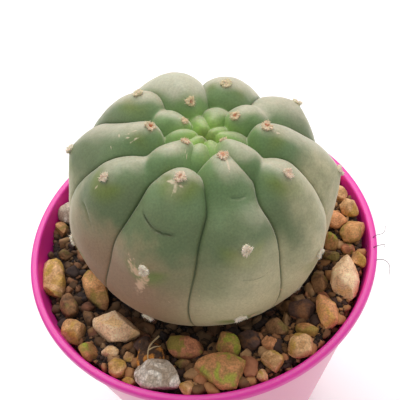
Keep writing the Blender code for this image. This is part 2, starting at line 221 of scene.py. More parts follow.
def make_pot():
    """The turned shell, with its drainage holes cut through the floor."""
    section, thin = pot_section()
    mesh = turned_mesh("pot_shell", section, POT_SEGMENTS)
    # Where the wall is thin: there the pale pink of painted light goes.
    shade = mesh.attributes.new("thin_wall", "FLOAT", "POINT")
    shade.data.foreach_set("value", np.repeat(thin, POT_SEGMENTS).astype(np.float32))
    pot = show("pot_shell", mesh)
    cutters = []
    for hole in range(DRAIN_HOLES):
        angle = 2 * math.pi * hole / DRAIN_HOLES
        bpy.ops.mesh.primitive_cylinder_add(
            vertices=DRAIN_SEGMENTS, radius=DRAIN_RADIUS * MM, depth=4 * POT_FLOOR * MM,
            location=(DRAIN_CIRCLE * math.cos(angle) * MM, DRAIN_CIRCLE * math.sin(angle) * MM,
                      (FOOT_RECESS + POT_FLOOR / 2) * MM))
        cutters.append(bpy.context.object)
        pot.modifiers.new("drain_hole", "BOOLEAN").object = cutters[-1]
    pot.data = evaluated_mesh(pot)
    for cutter in cutters:
        bpy.data.objects.remove(cutter)
    pot.data.materials.clear()
    pot.data.materials.append(plastic_material())
    pot.data.shade_smooth()
    pot.data.set_sharp_from_angle(angle=math.radians(SHARP_FROM))
    return pot


pot = make_pot()
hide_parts("pot")
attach(pot, "root")


# ---------------------------------------------------------------- plant
# A matucana: one flattened globe of fleshy tubercles in ten wavy ribs, grey-green under a waxy bloom.
# It grew by a rule, so Geometry Nodes make its skin: a grid whose columns run along the grooves
# between the ribs, sunk below the crest line by one dome for each tubercle.

BODY_CENTRE = (2.0, 2.0, POT_HEIGHT + 16.5)
LEAN_X = 10.0
LEAN_Y = 4.0
BODY_RADIUS = 29.7
CROWN_HEIGHT = 21.5
BASE_DEPTH = 26.0
CROWN_DIP = 5.0
DIP_RADIUS = 9.0
UPPER_POWER = 2.15
LOWER_POWER = 2.3
SHOULDER_HEIGHT = -24.0
COLLAR_RADIUS = 7.0
COLLAR_HEIGHT = -27.0
RIBS = 10
RIB_COLUMNS = 40
SKIN_ROWS = 242
COLUMN_CROWDING = 0.6  # how much closer the columns stand beside a groove than on a crest
ROW_CROWDING = 0.4  # and the rows near the crown
SEAM_WELD = 0.003  # what closes the seam and the apex

# Growth rule: each node bears two opposite areoles, and the next node is turned by TURN.
TURN = 72.0
FIRST_AZIMUTH = -44.0
YOUNGEST = -4
OLDEST = 15
ARC_LIMIT = 61.0  # distance along the meridian that an old node tends to
ARC_MIDDLE = 7.2
ARC_RATE = 3.1
# Degrees by which the grown tubercles of each rib stand off the rule.
RIB_SHIFT = {0: 3, 1: 2, 2: 2, 3: 2, 4: 7, 5: 2, 6: -2, 7: -9, 8: -5, 9: 0}
# Tubercles that left the rule while they grew: (node, side): (degrees, millimetres).
STRAYS = {
    (0, 0): (-12, 1.8), (0, 1): (10, 0), (1, 1): (10, -1), (2, 0): (0, 5), (3, 0): (8, 0.4),
    (4, 0): (3.5, 0), (5, 1): (0, -2), (6, 0): (0, 2.5), (6, 1): (2.7, 0.4), (7, 0): (0, 6),
    (7, 1): (0, 0.7), (8, 0): (-5, 0), (9, 0): (0, -2.5), (10, 0): (0, -2), (11, 1): (-5, 0),
    (14, 0): (0, 1.3),
}
# Tubercles that stand proud of the crest line, in millimetres.
PROUD = {
    (0, 0): 1.4, (1, 1): 0.4, (2, 0): 1.6, (2, 1): 0.4, (4, 1): 0.6, (5, 1): 0.4, (6, 0): 0.8,
    (7, 0): 1.0, (8, 0): 0.6, (8, 1): 1.0,
}
# Humped tubercles, whose areole stays behind on the inner slope: how far, and their own two curves.
HUMPED = {
    (0, 0): (-1.8, 4.0, 8.0), (1, 1): (0.0, 1.7, 17.0), (2, 0): (-6.0, 13.0, 60.0),
    (3, 0): (-0.9, 3.6, 70.0), (4, 1): (-1.6, 6.0, 80.0),
}

ACROSS_YOUNG = 0.7
ACROSS_GROWTH = 0.017  # times the square of the distance
AGES = (0, 4, 9, 15, 20, 26, 33)  # distances from the apex at which the next two lists hold
INWARD_CURVES = (0.6, 1.1, 2.4, 4.8, 9, 22, 50)
OUTWARD_CURVES = (1.6, 4, 18, 75, 90, 90, 90)
BLEND_AGES = (0, 10, 20, 40)
BLENDS = (0.05, 0.25, 1.3, 2.6)  # how deep two tubercles of one rib run together
BLEND_SOFTNESS = 1.5
CHIN_AGES = (8, 16, 28, 36, 46)
CHINS = (0.0, 0.9, 1.2, 1.5, 0.5)  # how far the tip of a tubercle juts out
CHIN_REACH = 4.0  # and the distance over which it does
GROOVE_HALVINGS = 12  # steps in which the bottom of a groove is found
GROOVES_SETTLE = (2.0, 8.0)  # distances over which the columns begin to follow the grooves
GROOVE_FADE = (38.0, 62.0)  # distances over which the ribs flatten out
GROOVE_CUT = 0.55  # depth and half width of the sharp crease at the bottom of a groove
GROOVE_CUT_WIDTH = 0.24
CUT_BEGINS = (8.0, 26.0)  # distances over which that crease deepens, and over which it ends
CUT_ENDS = (50.0, 60.0)
UNEVENNESS = ((7.0, 0.26), (1.6, 0.03))  # width and depth of the slight swellings all over the skin
FAR = 99.0

# Creases across a rib: (azimuth, distance from the apex, half width, sag, tilt, cut, lip).
CREASES = (
    (239, 27.8, 4.8, -1.7, 1.2, 0.45, 0.6),
    (283, 19.5, 2.2, -0.6, 0.0, 0.2, 0.12),
    (285, 38.5, 4.0, -1.0, 0.3, 0.12, 0.1),
    (203, 34.5, 3.0, 1.5, 2.0, 0.3, 0.1),
)
CREASE_WIDTH = 0.3
CREASE_LIP_REACH = 2.2
CREASE_TAPER = (1.0, 0.3)  # squared shares of the half width between which a crease runs out
# Corky scars: (azimuth, distance from the apex, half width, half length, slant in degrees).
SCARS = (
    (239.5, 17.5, 0.95, 0.6, 0), (236.5, 17.5, 1.1, 0.28, 0), (245, 17.8, 0.6, 0.25, 0),
    (242, 18.8, 0.34, 1.5, 0), (235, 38.4, 1.8, 1.4, 0), (237.5, 42.0, 1.1, 3.0, -12),
    (240, 39.4, 0.8, 2.0, 0), (232, 37.3, 0.7, 0.6, 0), (231, 35.8, 0.16, 1.6, 35),
    (232, 36.2, 0.16, 1.4, -50), (238.5, 35.3, 0.3, 0.2, 0), (201, 27.4, 0.22, 1.2, 0),
    (281.5, 12.6, 0.22, 2.6, -8), (350, 14.6, 0.22, 1.4, 0), (181, 16.0, 0.17, 1.8, 0),
    (187, 15.6, 0.17, 1.5, 10), (184, 17.4, 0.14, 1.2, 0), (179, 19.0, 0.6, 0.2, 0),
    (184, 21.5, 0.5, 0.16, 0), (231, 8.8, 0.1, 1.2, 20), (235, 8.9, 0.1, 1.0, 20),
    (262, 42.9, 0.22, 0.22, 0), (262, 41.4, 0.14, 0.2, 0), (250, 45.5, 0.15, 0.5, 40),
    (322, 42.5, 0.4, 0.8, 0), (300, 47.0, 0.2, 0.8, 70), (287, 52.0, 1.2, 0.8, 0),
)


def crest_profile(samples=300):
    """The meridian on which every tubercle's tip lies: radius and height, from the apex to the root."""
    angle = np.linspace(0, math.pi / 2, samples)
    upper_radius = BODY_RADIUS * np.sin(angle) ** (2 / UPPER_POWER)
    upper_height = CROWN_HEIGHT * np.cos(angle) ** (2 / UPPER_POWER)
    upper_height -= CROWN_DIP * np.exp(-(upper_radius / DIP_RADIUS) ** 2)
    lower_height = np.linspace(0, SHOULDER_HEIGHT, samples)[1:]
    depth = np.abs(lower_height) / BASE_DEPTH
    lower_radius = BODY_RADIUS * (1 - depth ** LOWER_POWER) ** (1 / LOWER_POWER)
    radius = np.concatenate([upper_radius, lower_radius, [COLLAR_RADIUS, 0.0]])
    height = np.concatenate([upper_height, lower_height, [COLLAR_HEIGHT, COLLAR_HEIGHT]])
    return radius, height


def body_to_world():
    """Matrix that leans the plant, puts it in its place and turns millimetres to metres."""
    axis = Vector((math.sin(math.radians(LEAN_X)), math.sin(math.radians(LEAN_Y)), 1.0)).normalized()
    side = Vector((1, 0, 0)) - axis * axis.x
    side.normalize()
    turn = Matrix((side, axis.cross(side), axis)).transposed().to_4x4()
    return Matrix.Scale(MM, 4) @ Matrix.Translation(BODY_CENTRE) @ turn


def meridian_curve():
    """The crest profile as a curve in the XZ plane, for the tree to measure along."""
    radius, height = crest_profile()
    curve = bpy.data.curves.new("meridian", "CURVE")
    curve.dimensions = "3D"
    spline = curve.splines.new("POLY")
    spline.points.add(len(radius) - 1)
    for point, r, z in zip(spline.points, radius, height):
        point.co = (r, 0.0, z, 1.0)
    return show("meridian", curve)


def point_cloud(name, **columns):
    """A mesh of loose points that carries one vector attribute for each named column."""
    mesh = bpy.data.meshes.new(name)
    mesh.vertices.add(len(next(iter(columns.values()))))
    for label, values in columns.items():
        flat_values = np.asarray(values, np.float32).ravel()
        if label == "position":
            mesh.vertices.foreach_set("co", flat_values)
        else:
            mesh.attributes.new(label, "FLOAT_VECTOR", "POINT").data.foreach_set("vector", flat_values)
    return show(name, mesh)


def tubercle_rows():
    """Every tubercle, rib by rib and youngest first: rib, node, azimuth, distance, proudness, form."""
    rows = []
    for node in range(YOUNGEST, OLDEST + 1):
        for side in (0, 1):
            rib = (2 * node + RIBS // 2 * side) % RIBS
            turned, climbed = STRAYS.get((node, side), (0, 0))
            azimuth = FIRST_AZIMUTH + TURN * node + 180.0 * side + turned
            if node > 1:
                azimuth += RIB_SHIFT[rib]
            arc = ARC_LIMIT / (1 + math.exp((ARC_MIDDLE - node) / ARC_RATE)) + climbed
            form = HUMPED.get((node, side), (0.0, np.interp(arc, AGES, INWARD_CURVES),
                                             np.interp(arc, AGES, OUTWARD_CURVES)))
            rows.append((rib, node, math.radians(azimuth), arc, PROUD.get((node, side), 0.0), form))
    return sorted(rows)


def tubercle_points():
    rows = tubercle_rows()
    return point_cloud(
        "tubercles", place=[row[2:5] for row in rows],
        form=[(row[5][1], row[5][2], np.interp(row[3], BLEND_AGES, BLENDS)) for row in rows],
        chin=[(np.interp(row[3], CHIN_AGES, CHINS), row[5][0], 0.0) for row in rows])


def crease_points():
    return point_cloud(
        "creases", place=[(math.radians(azimuth), arc, half) for azimuth, arc, half, *_ in CREASES],
        bend=[(sag, tilt, 0.0) for *_, sag, tilt, _, _ in CREASES],
        form=[(cut, lip, 0.0) for *_, cut, lip in CREASES])


def scar_points():
    return point_cloud(
        "scars", place=[(math.radians(scar[0]), scar[1], math.radians(scar[4])) for scar in SCARS],
        form=[(wide, long, 0.0) for _, _, wide, long, _ in SCARS])


def new_tree(name, gives="Geometry", **takes):
    """A Geometry Nodes tree with inputs listed by kind; returns it, add_node() for it, and its inputs."""
    tree = bpy.data.node_groups.new(name, "GeometryNodeTree")
    tree.interface.new_socket(name=gives, in_out="OUTPUT", socket_type="NodeSocket" + gives)
    for kind, labels in takes.items():
        for label in labels.split():
            tree.interface.new_socket(name=label, in_out="INPUT", socket_type="NodeSocket" + kind)
    tree.nodes.new("NodeGroupOutput")
    return tree, partial(add_node, tree), tree.nodes.new("NodeGroupInput").outputs


def end_tree(tree, geometry, material):
    """Shade the result smooth, give it its material and send it out of the tree."""
    smooth = add_node(tree, "SetShadeSmooth", geometry)
    fill(tree.nodes["Group Output"], add_node(tree, "SetMaterial", smooth, Material=material))
    return tree


def repeat_zone(tree, iterations, **items):
    """Repeat nodes that carry the named items, each (kind, first value): the start's outputs and the end."""
    start = tree.nodes.new("GeometryNodeRepeatInput")
    end = tree.nodes.new("GeometryNodeRepeatOutput")
    start.pair_with_output(end)
    end.repeat_items.clear()
    for label, (kind, _) in items.items():
        end.repeat_items.new(kind, label)
    return fill(start, iterations, *[first for _, first in items.values()]).outputs, end


def read_point(add, points, label, index):
    """The parts of a vector attribute of one point of a point cloud."""
    named = add("InputNamedAttribute FLOAT_VECTOR", label)
    return add("SeparateXYZ", add("SampleIndex FLOAT_VECTOR", points, named, index)).outputs


def store(add, geometry, **values):
    """Keep each value as an attribute of the geometry's points."""
    for label, value in values.items():
        geometry = add("StoreNamedAttribute", geometry, None, label, value)
    return geometry


def turn_between(add, azimuth, other):
    """The angle from one azimuth to another, the short way round."""
    return add("Math WRAP", add("Math SUBTRACT", azimuth, other), math.pi, -math.pi)


def fading(add, distance, reach):
    """1 at no distance, dying away as the distance grows: e to the power of minus its share of the reach."""
    return add("Math POWER", math.e, add("Math MULTIPLY", distance, -1 / reach))


def turned_out(add, radius, azimuth, height):
    """The place at a radius and a height, turned round the axis to an azimuth."""
    x = add("Math MULTIPLY", radius, add("Math COSINE", azimuth))
    y = add("Math MULTIPLY", radius, add("Math SINE", azimuth))
    return add("CombineXYZ", x, y, height)


def rib_tree():
    """How deep the skin of one rib lies below the crest line: its domes run softly into one another."""
    tree, add, get = new_tree("rib_depth", "Float", Geometry="Tubercles", Int="Per_Rib Rib",
                              Float="Arc Azimuth Radius Flatness")
    now, end = repeat_zone(tree, get["Per_Rib"], Depth=("FLOAT", FAR))
    index = add("Math MULTIPLY_ADD", get["Rib"], get["Per_Rib"], now["Iteration"])
    centre, tip, proud = read_point(add, get["Tubercles"], "place", index)
    inward, outward, blend = read_point(add, get["Tubercles"], "form", index)
    chin = read_point(add, get["Tubercles"], "chin", index)["X"]
    # How far a spot is off the tip, across the rib and along it. A row bows round the tubercle's azimuth.
    turn = turn_between(add, get["Azimuth"], centre)
    near = add("Clamp", turn, -math.pi / 2, math.pi / 2)
    cosine = add("Math COSINE", turn)
    across = add("Math MULTIPLY", add("Math SINE", near), get["Radius"])
    flat_radius = add("Math MULTIPLY", get["Radius"], get["Flatness"])
    bow = add("Math MULTIPLY", add("Math SUBTRACT", 1.0, cosine), flat_radius)
    along = add("Math SUBTRACT", add("Math SUBTRACT", get["Arc"], tip), bow)
    # The dome: half the squared distances over its curves.
    curve = add("Mix", add("Math GREATER_THAN", along, 0.0), inward, outward)
    along_square, across_square, arc_square = (
        add("Math MULTIPLY", distance, distance) for distance in (along, across, get["Arc"]))
    breadth = add("Math MULTIPLY_ADD", arc_square, ACROSS_GROWTH, ACROSS_YOUNG)
    fall = add("Math DIVIDE", along_square, curve)
    dome = add("Math MULTIPLY", add("Math ADD", fall, add("Math DIVIDE", across_square, breadth)), 0.5)
    # The chin juts out at the tip.
    reach = add("Math SQRT", add("Math ADD", along_square, across_square))
    chin_left = add("Math SUBTRACT", 1.0, fading(add, reach, CHIN_REACH))
    raised = add("Math SUBTRACT", add("Math MULTIPLY_ADD", chin, chin_left, dome), proud)
    shown = add("Mix", add("Math LESS_THAN", cosine, 0.0), raised, FAR)
    softness = add("Math MULTIPLY", blend, BLEND_SOFTNESS)
    fill(end, Depth=add("Math SMOOTH_MIN", now["Depth"], shown, softness))
    fill(tree.nodes["Group Output"], end.outputs["Depth"])
    return tree


def skin_tree():
    """The whole skin, in millimetres and in the plant's own upright frame."""
    tree, add, get = new_tree(
        "cactus_skin", Object="Meridian Tubercles Creases Scars", Float="Crowding Cut Cut_Width",
        Int="Rows Columns Ribs Per_Rib Crease_Count Scar_Count", Material="Skin")
    meridian, tubercles, creases, scars = (
        add("ObjectInfo", get[name]).outputs["Geometry"]
        for name in ("Meridian", "Tubercles", "Creases", "Scars"))
    length = add("CurveLength", meridian)
    index = add("InputIndex")
    rows_and_end = add("Math ADD", get["Rows"], 1.0)
    domes = rib_tree()

    def whole_part(number, step):
        return add("Math FLOOR", add("Math DIVIDE", number, step))

    def arc_of(row):
        """Distance along the meridian of a row: rows stand closer near the crown."""
        share = add("Math DIVIDE", row, get["Rows"])
        spread = add("Math MULTIPLY_ADD", share, ROW_CROWDING, 1 - ROW_CROWDING)
        return add("Math MULTIPLY", add("Math MULTIPLY", share, spread), length)

    def on_meridian(arc):
        """Radius, height and the two parts of the direction of the meridian at a distance."""
        sample = add("SampleCurve LENGTH", Curves=meridian, Length=arc, use_all_curves=True).outputs
        radius, _, height = add("SeparateXYZ", sample["Position"]).outputs
        out, _, up = add("SeparateXYZ", sample["Tangent"]).outputs
        return radius, height, out, up

    def rib_depth(rib, *spot):
        return fill(add("Group", node_tree=domes), tubercles, get["Per_Rib"], rib, *spot)

    # The grooves: on each row, where two neighbouring ribs are equally deep, found by halving.
    lines = add("Math ADD", get["Ribs"], 1.0)
    line = add("Math FLOORED_MODULO", index, lines)
    groove_arc = arc_of(whole_part(index, lines))
    radius, _, out, _ = on_meridian(groove_arc)
    flatness = add("Clamp", out, 0.0, 1.0)
    after = add("Math FLOORED_MODULO", line, get["Ribs"])
    before = add("Math FLOORED_MODULO", add("Math SUBTRACT", line, 1.0), get["Ribs"])
    pitch = 2 * math.pi / RIBS
    nominal = add("Math MULTIPLY_ADD", line, pitch, math.radians(FIRST_AZIMUTH) - pitch / 2)
    marked = store(add, add("MeshGrid", 1.0, 1.0, rows_and_end, lines),
                   low=add("Math SUBTRACT", nominal, pitch / 2), high=add("Math ADD", nominal, pitch / 2))
    now, end = repeat_zone(tree, GROOVE_HALVINGS, Grid=("GEOMETRY", marked))
    low, high, middle_was, before_was = (
        add("InputNamedAttribute", label) for label in ("low", "high", "middle", "is_before"))
    middle = add("Math MULTIPLY", add("Math ADD", low, high), 0.5)
    spot = (groove_arc, middle, radius, flatness)
    is_before = add("Math LESS_THAN", rib_depth(before, *spot), rib_depth(after, *spot))
    tried = store(add, now["Grid"], middle=middle, is_before=is_before)
    fill(end, Grid=store(add, tried, low=add("Mix", before_was, low, middle_was),
                         high=add("Mix", before_was, middle_was, high)))
    # Round the apex the ribs are too short to have grooves, and the columns stand evenly.
    settled = add("MapRange SMOOTHSTEP", groove_arc, *GROOVES_SETTLE, 0.0, 1.0)
    grooves = store(add, end.outputs["Grid"], azimuth=add("Mix", settled, nominal, low))

    # The skin's grid: each rib's columns run between its two grooves.
    all_columns = add("Math MULTIPLY_ADD", get["Ribs"], get["Columns"], 1.0)
    row = whole_part(index, all_columns)
    column = add("Math FLOORED_MODULO", index, all_columns)
    last_rib = add("Math SUBTRACT", get["Ribs"], 1.0)
    rib = add("Math MINIMUM", whole_part(column, get["Columns"]), last_rib)
    share = add("Math SUBTRACT", add("Math DIVIDE", column, get["Columns"]), rib)
    sway = add("Math SINE", add("Math MULTIPLY", share, 2 * math.pi))
    crowd = add("Math MULTIPLY", get["Crowding"], -1 / (2 * math.pi))
    eased = add("Math MULTIPLY_ADD", sway, crowd, share)
    left_index = add("Math MULTIPLY_ADD", row, lines, rib)
    named = add("InputNamedAttribute", "azimuth")
    left = add("SampleIndex", grooves, named, left_index)
    right = add("SampleIndex", grooves, named, add("Math ADD", left_index, 1.0))
    row_arc = arc_of(row)
    radius, height, out, up = on_meridian(row_arc)
    nearer = add("Math MINIMUM", eased, add("Math SUBTRACT", 1.0, eased))
    wedge = add("Math MULTIPLY", add("Math SUBTRACT", right, left), radius)
    grid = store(add, add("MeshGrid", 1.0, 1.0, rows_and_end, all_columns), arc=row_arc,
                 azimuth=add("Mix", eased, left, right), groove=add("Math MULTIPLY", nearer, wedge),
                 radius=radius, flatness=add("Clamp", out, 0.0, 1.0), sunk=FAR)
    arc, azimuth, radius_was, flatness, sunk_was, from_groove = (
        add("InputNamedAttribute", name)
        for name in ("arc", "azimuth", "radius", "flatness", "sunk", "groove"))
    now, end = repeat_zone(tree, get["Ribs"], Grid=("GEOMETRY", grid))
    depth = rib_depth(now["Iteration"], arc, azimuth, radius_was, flatness)
    fill(end, Grid=store(add, now["Grid"], sunk=add("Math MINIMUM", sunk_was, depth)))
    ribbed = end.outputs["Grid"]

    # Creases across a rib: a fine cut with a lip above it.
    now, creased = repeat_zone(tree, get["Crease_Count"], Sunk=("FLOAT", 0.0), Near=("FLOAT", FAR))
    middle, crease_arc, half = read_point(add, creases, "place", now["Iteration"])
    sag, tilt, _ = read_point(add, creases, "bend", now["Iteration"])
    cut, lip, _ = read_point(add, creases, "form", now["Iteration"])
    aside = add("Math MULTIPLY", turn_between(add, azimuth, middle), radius)
    reach = add("Math DIVIDE", aside, half)
    reach_square = add("Math MINIMUM", add("Math MULTIPLY", reach, reach), 1.0)
    bent = add("Math MULTIPLY_ADD", reach_square, sag, crease_arc)
    line_arc = add("Math MULTIPLY_ADD", add("Clamp", reach, -1.0, 1.0), tilt, bent)
    below = add("Math SUBTRACT", arc, line_arc)
    strength = add("MapRange SMOOTHSTEP", reach_square, *CREASE_TAPER, 0.0, 1.0)
    cut_share = add("Math DIVIDE", below, CREASE_WIDTH)
    cut_fall = fading(add, add("Math MULTIPLY", cut_share, cut_share), 1.0)
    lip_depth = add("Math MULTIPLY", fading(add, below, CREASE_LIP_REACH), lip)
    lip_under = add("Math MULTIPLY", lip_depth, add("Math GREATER_THAN", below, 0.0))
    shape = add("Math ADD", add("Math MULTIPLY", cut_fall, cut), lip_under)
    off_line = add("Math ADD", add("Math ABSOLUTE", below), add("MapRange", strength, 0.0, 0.5, FAR, 0.0))
    fill(creased, Sunk=add("Math MULTIPLY_ADD", shape, strength, now["Sunk"]),
         Near=add("Math MINIMUM", now["Near"], off_line))

    # Scars: how far a spot lies inside the nearest one, from 0 at its edge to 1 at its middle.
    now, scarred = repeat_zone(tree, get["Scar_Count"], Scar=("FLOAT", 0.0))
    middle, scar_arc, slant = read_point(add, scars, "place", now["Iteration"])
    half_wide, half_long, _ = read_point(add, scars, "form", now["Iteration"])
    aside = add("Math MULTIPLY", turn_between(add, azimuth, middle), radius_was)
    flat_spot = add("CombineXYZ", aside, add("Math SUBTRACT", arc, scar_arc))
    slanted = add("VectorRotate Z_AXIS", Vector=flat_spot, Angle=slant)
    aside, past, _ = add("SeparateXYZ", slanted).outputs
    shares = add("CombineXYZ", add("Math DIVIDE", aside, half_wide), add("Math DIVIDE", past, half_long))
    inside = add("Math SUBTRACT", 2.0, add("VectorMath LENGTH", shares))
    fill(scarred, Scar=add("Math MAXIMUM", add("Math MULTIPLY", inside, 0.5), now["Scar"]))

    # The tubercles' tips in space, to measure from.
    tip_azimuth, dome_arc, _ = add("SeparateXYZ", add("InputNamedAttribute FLOAT_VECTOR", "place")).outputs
    left_behind = add("SeparateXYZ", add("InputNamedAttribute FLOAT_VECTOR", "chin")).outputs["Y"]
    tip_radius, tip_height, _, _ = on_meridian(add("Math ADD", dome_arc, left_behind))
    tips = add("SetPosition", tubercles, Position=turned_out(add, tip_radius, tip_azimuth, tip_height))

    # All that sinks the skin: domes, the sharp bottom of the grooves, creases and a slight unevenness.
    rib_fade = add("MapRange SMOOTHSTEP", arc, *GROOVE_FADE, 1.0, 0.0)
    bottom = fading(add, add("Math DIVIDE", from_groove, get["Cut_Width"]), 1.0)
    for share in (get["Cut"], add("MapRange SMOOTHSTEP", arc, *CUT_BEGINS, 0.0, 1.0),
                  add("MapRange SMOOTHSTEP", arc, *CUT_ENDS, 1.0, 0.0)):
        bottom = add("Math MULTIPLY", bottom, share)
    sunk = add("Math ADD", add("Math MULTIPLY", sunk_was, rib_fade), bottom)
    sunk = add("Math ADD", sunk, creased.outputs["Sunk"])
    crest_place = turned_out(add, radius, azimuth, height)
    for size, depth in UNEVENNESS:
        swell = add("TexNoise", Vector=crest_place, Scale=1 / size, Detail=2.0)
        sunk = add("Math MULTIPLY_ADD", add("Math SUBTRACT", swell, 0.5), depth * 2, sunk)
    # Radius and height move square to the meridian.
    level = add("Math SUBTRACT", height, add("Math MULTIPLY", sunk, out))
    position = turned_out(add, add("Math MULTIPLY_ADD", sunk, up, radius), azimuth, level)
    marked = store(add, ribbed, crease=creased.outputs["Near"])
    moved = add("SetPosition", marked, Position=position)
    to_tip = add("Proximity POINTS", tips).outputs
    lean = add("VectorMath SUBTRACT", add("InputPosition"), to_tip["Position"])
    moved = store(add, moved, tip=to_tip["Distance"], above_tip=add("SeparateXYZ", lean).outputs["Z"],
                  scar=scarred.outputs["Scar"])
    return end_tree(tree, add("MergeByDistance", moved, Distance=SEAM_WELD), get["Skin"])


def grow(name, tree, place=Matrix.Scale(MM, 4), **inputs):
    """Run a Geometry Nodes tree and show its result as a plain mesh in its place."""
    piece = show(name, bpy.data.meshes.new(name))
    modifier = piece.modifiers.new("grow", "NODES")
    modifier.node_group = tree
    for item in tree.interface.items_tree:
        if item.in_out == "INPUT":
            modifier[item.identifier] = inputs[item.name]
    piece.data = evaluated_mesh(piece)
    piece.data.transform(place)
    return piece


CROWN_GREEN = "8FB352"
PAINTED_LIGHT_DIRECTION = (0.35, 0.7, 0.62)  # the lamp's direction: faces turned to it are painted paler (painted light), faces turned away darker (painted shade)
# Azimuths of the rib lit from behind and of the side lit from the window (both painted light), of the pinkest
# brown at the foot, of the ribs that stay green low down, and of a pale flank.
SIDES = {"pale_side": 104.0, "pink_side": -135.0, "dull_side": -102.0, "window_lit_side": -28.0,
         "pale_flank": -72.0}
DUST = "F7F0DF"  # tint of the dusty bloom's sheen
CORK = "E4D0B2"
OLD_CORK = "E8BE9C"
AGE_WANDER = 8.0  # either way, so that no tint of an old part ends in a straight line
MOTTLE_IN_GRAIN = 0.3
FRAYING = 0.9  # how much the fray adds to a scar
CORK_RELIEF = 1.9  # times the grain's own
# The next four are each a range of one measure, and what that gives at the range's two ends.
BLOOM_SHEEN = (30.0, 48.0, 0.9, 0.15)  # by distance from the apex
CORK_AGEING = (28.0, 36.0, 0.0, 1.0)  # by distance too
CORK_COVER = (0.85, 1.25, 0.0, 0.75)  # by how far a frayed spot is inside a scar
GRAIN_SHADE = (0.35, 0.95, 0.84, 1.14)  # by the fine grain of the skin's cells
# Patterns in the skin: the width of a patch in millimetres and how detailed it is. The grain is that of
# the skin's cells, drawn coarser than it is, so that it shows.
SKIN_PATTERNS = {"blotch": (6.0, 4.0), "mottle": (3.0, 2.0), "fray": (0.7, 3.0), "grain": (0.45, 2.0)}
# The tints that lie over the crown's green, one on the other: the tint, then what its share is a product
# of, each a measured value, where its fade starts and ends, and the share at the start and at the end.
SKIN_LAYERS = (
    ("7C9A60", ("arc", 2, 8, 0.0, 1.0)),  # young grey-green
    ("6E855A", ("arc", 8, 16, 0.0, 1.0)),  # grown grey-green
    ("64734D", ("age", 17, 27, 0.0, 1.0)),  # old and duller
    ("C2B890", ("age", 29, 47, 0.0, 1.0)),  # tan cork at the foot
    ("906F52", ("age", 29, 43, 0.0, 1.0), ("pink_side", 0.72, 0.97, 0.0, 0.95)),  # pinkish brown, darker, low on one side
    ("6F7850", ("age", 29, 43, 0.0, 0.9), ("dull_side", 0.95, 0.99, 0.0, 0.75),
     ("arc", 46, 38, 0.2, 1.0)),  # dull green that the cork has not reached
    ("7EA052", ("arc", 10, 6, 0.0, 0.7), ("sunk", 0.6, 1.8, 0.0, 1.0)),  # darker green deep between young domes
    ("7C9442", ("arc", 2.6, 1.0, 0.0, 0.9)),  # the deep olive middle
    ("4C6C36", ("front", 18, 4, 0.0, 0.75), ("sunward", 0.5, 0.05, 0.2, 0.7), ("arc", 24, 15, 0.0, 1.0),
     ("arc", 5, 9, 0.0, 1.0)),  # painted shade: deep green on the front faces that the lamp never reaches
    ("6A7A32", ("arc", 12, 16, 0.0, 0.9), ("tip", 0.8, 2.0, 0.0, 1.0), ("tip", 6.5, 2.5, 0.0, 1.0),
     ("above_tip", 0.5, -1.2, 0.0, 1.0)),  # painted shade: olive just below a grown areole
    ("C4BCA4", ("sunward", 0.3, 0.8, 0.0, 0.85), ("arc", 2, 12, 0.4, 1.0),
     ("mottle", 0.3, 0.7, 0.8, 1.0)),  # the bloom's pale, stronger on the faces that the lamp reaches: bloom and painted light
    ("C4BCA4", ("sunk", 1.2, 0.0, 0.0, 0.5), ("arc", 2, 11, 0.2, 1.0), ("arc", 30, 20, 0.2, 1.0),
     ("sunward", -0.4, 0.4, 0.3, 1.0), ("mottle", 0.3, 0.7, 0.7, 1.0)),  # and on the crests, more where they face the lamp: bloom and painted highlight
    ("C0BEA5", ("pale_side", 0.91, 0.97, 0.0, 0.9), ("arc", 9.5, 12.5, 0.0, 1.0)),  # painted light: pale on the rib lit from behind
    ("CCC09A", ("window_lit_side", 0.88, 0.97, 0.0, 0.65), ("arc", 19, 27, 0.0, 1.0), ("arc", 50, 40, 0.3, 1.0),
     ("mottle", 0.3, 0.7, 0.7, 1.0)),  # painted light: pale on the side turned to the window
    # paler on one front flank, low down
    ("CCC09A", ("pale_flank", 0.95, 0.99, 0.0, 0.45), ("arc", 28, 33, 0.0, 1.0), ("arc", 48, 40, 0.0, 1.0)),
    ("3E5434", ("groove", 0.35, 0.0, 0.0, 1.0), ("arc", 12, 26, 0.1, 0.7)),  # painted shade: dark lines at the bottoms of the grooves
    # painted shade: dark lines in the creases
    ("3E5434", ("crease", 0.3, 0.0, 0.0, 0.5)),
)


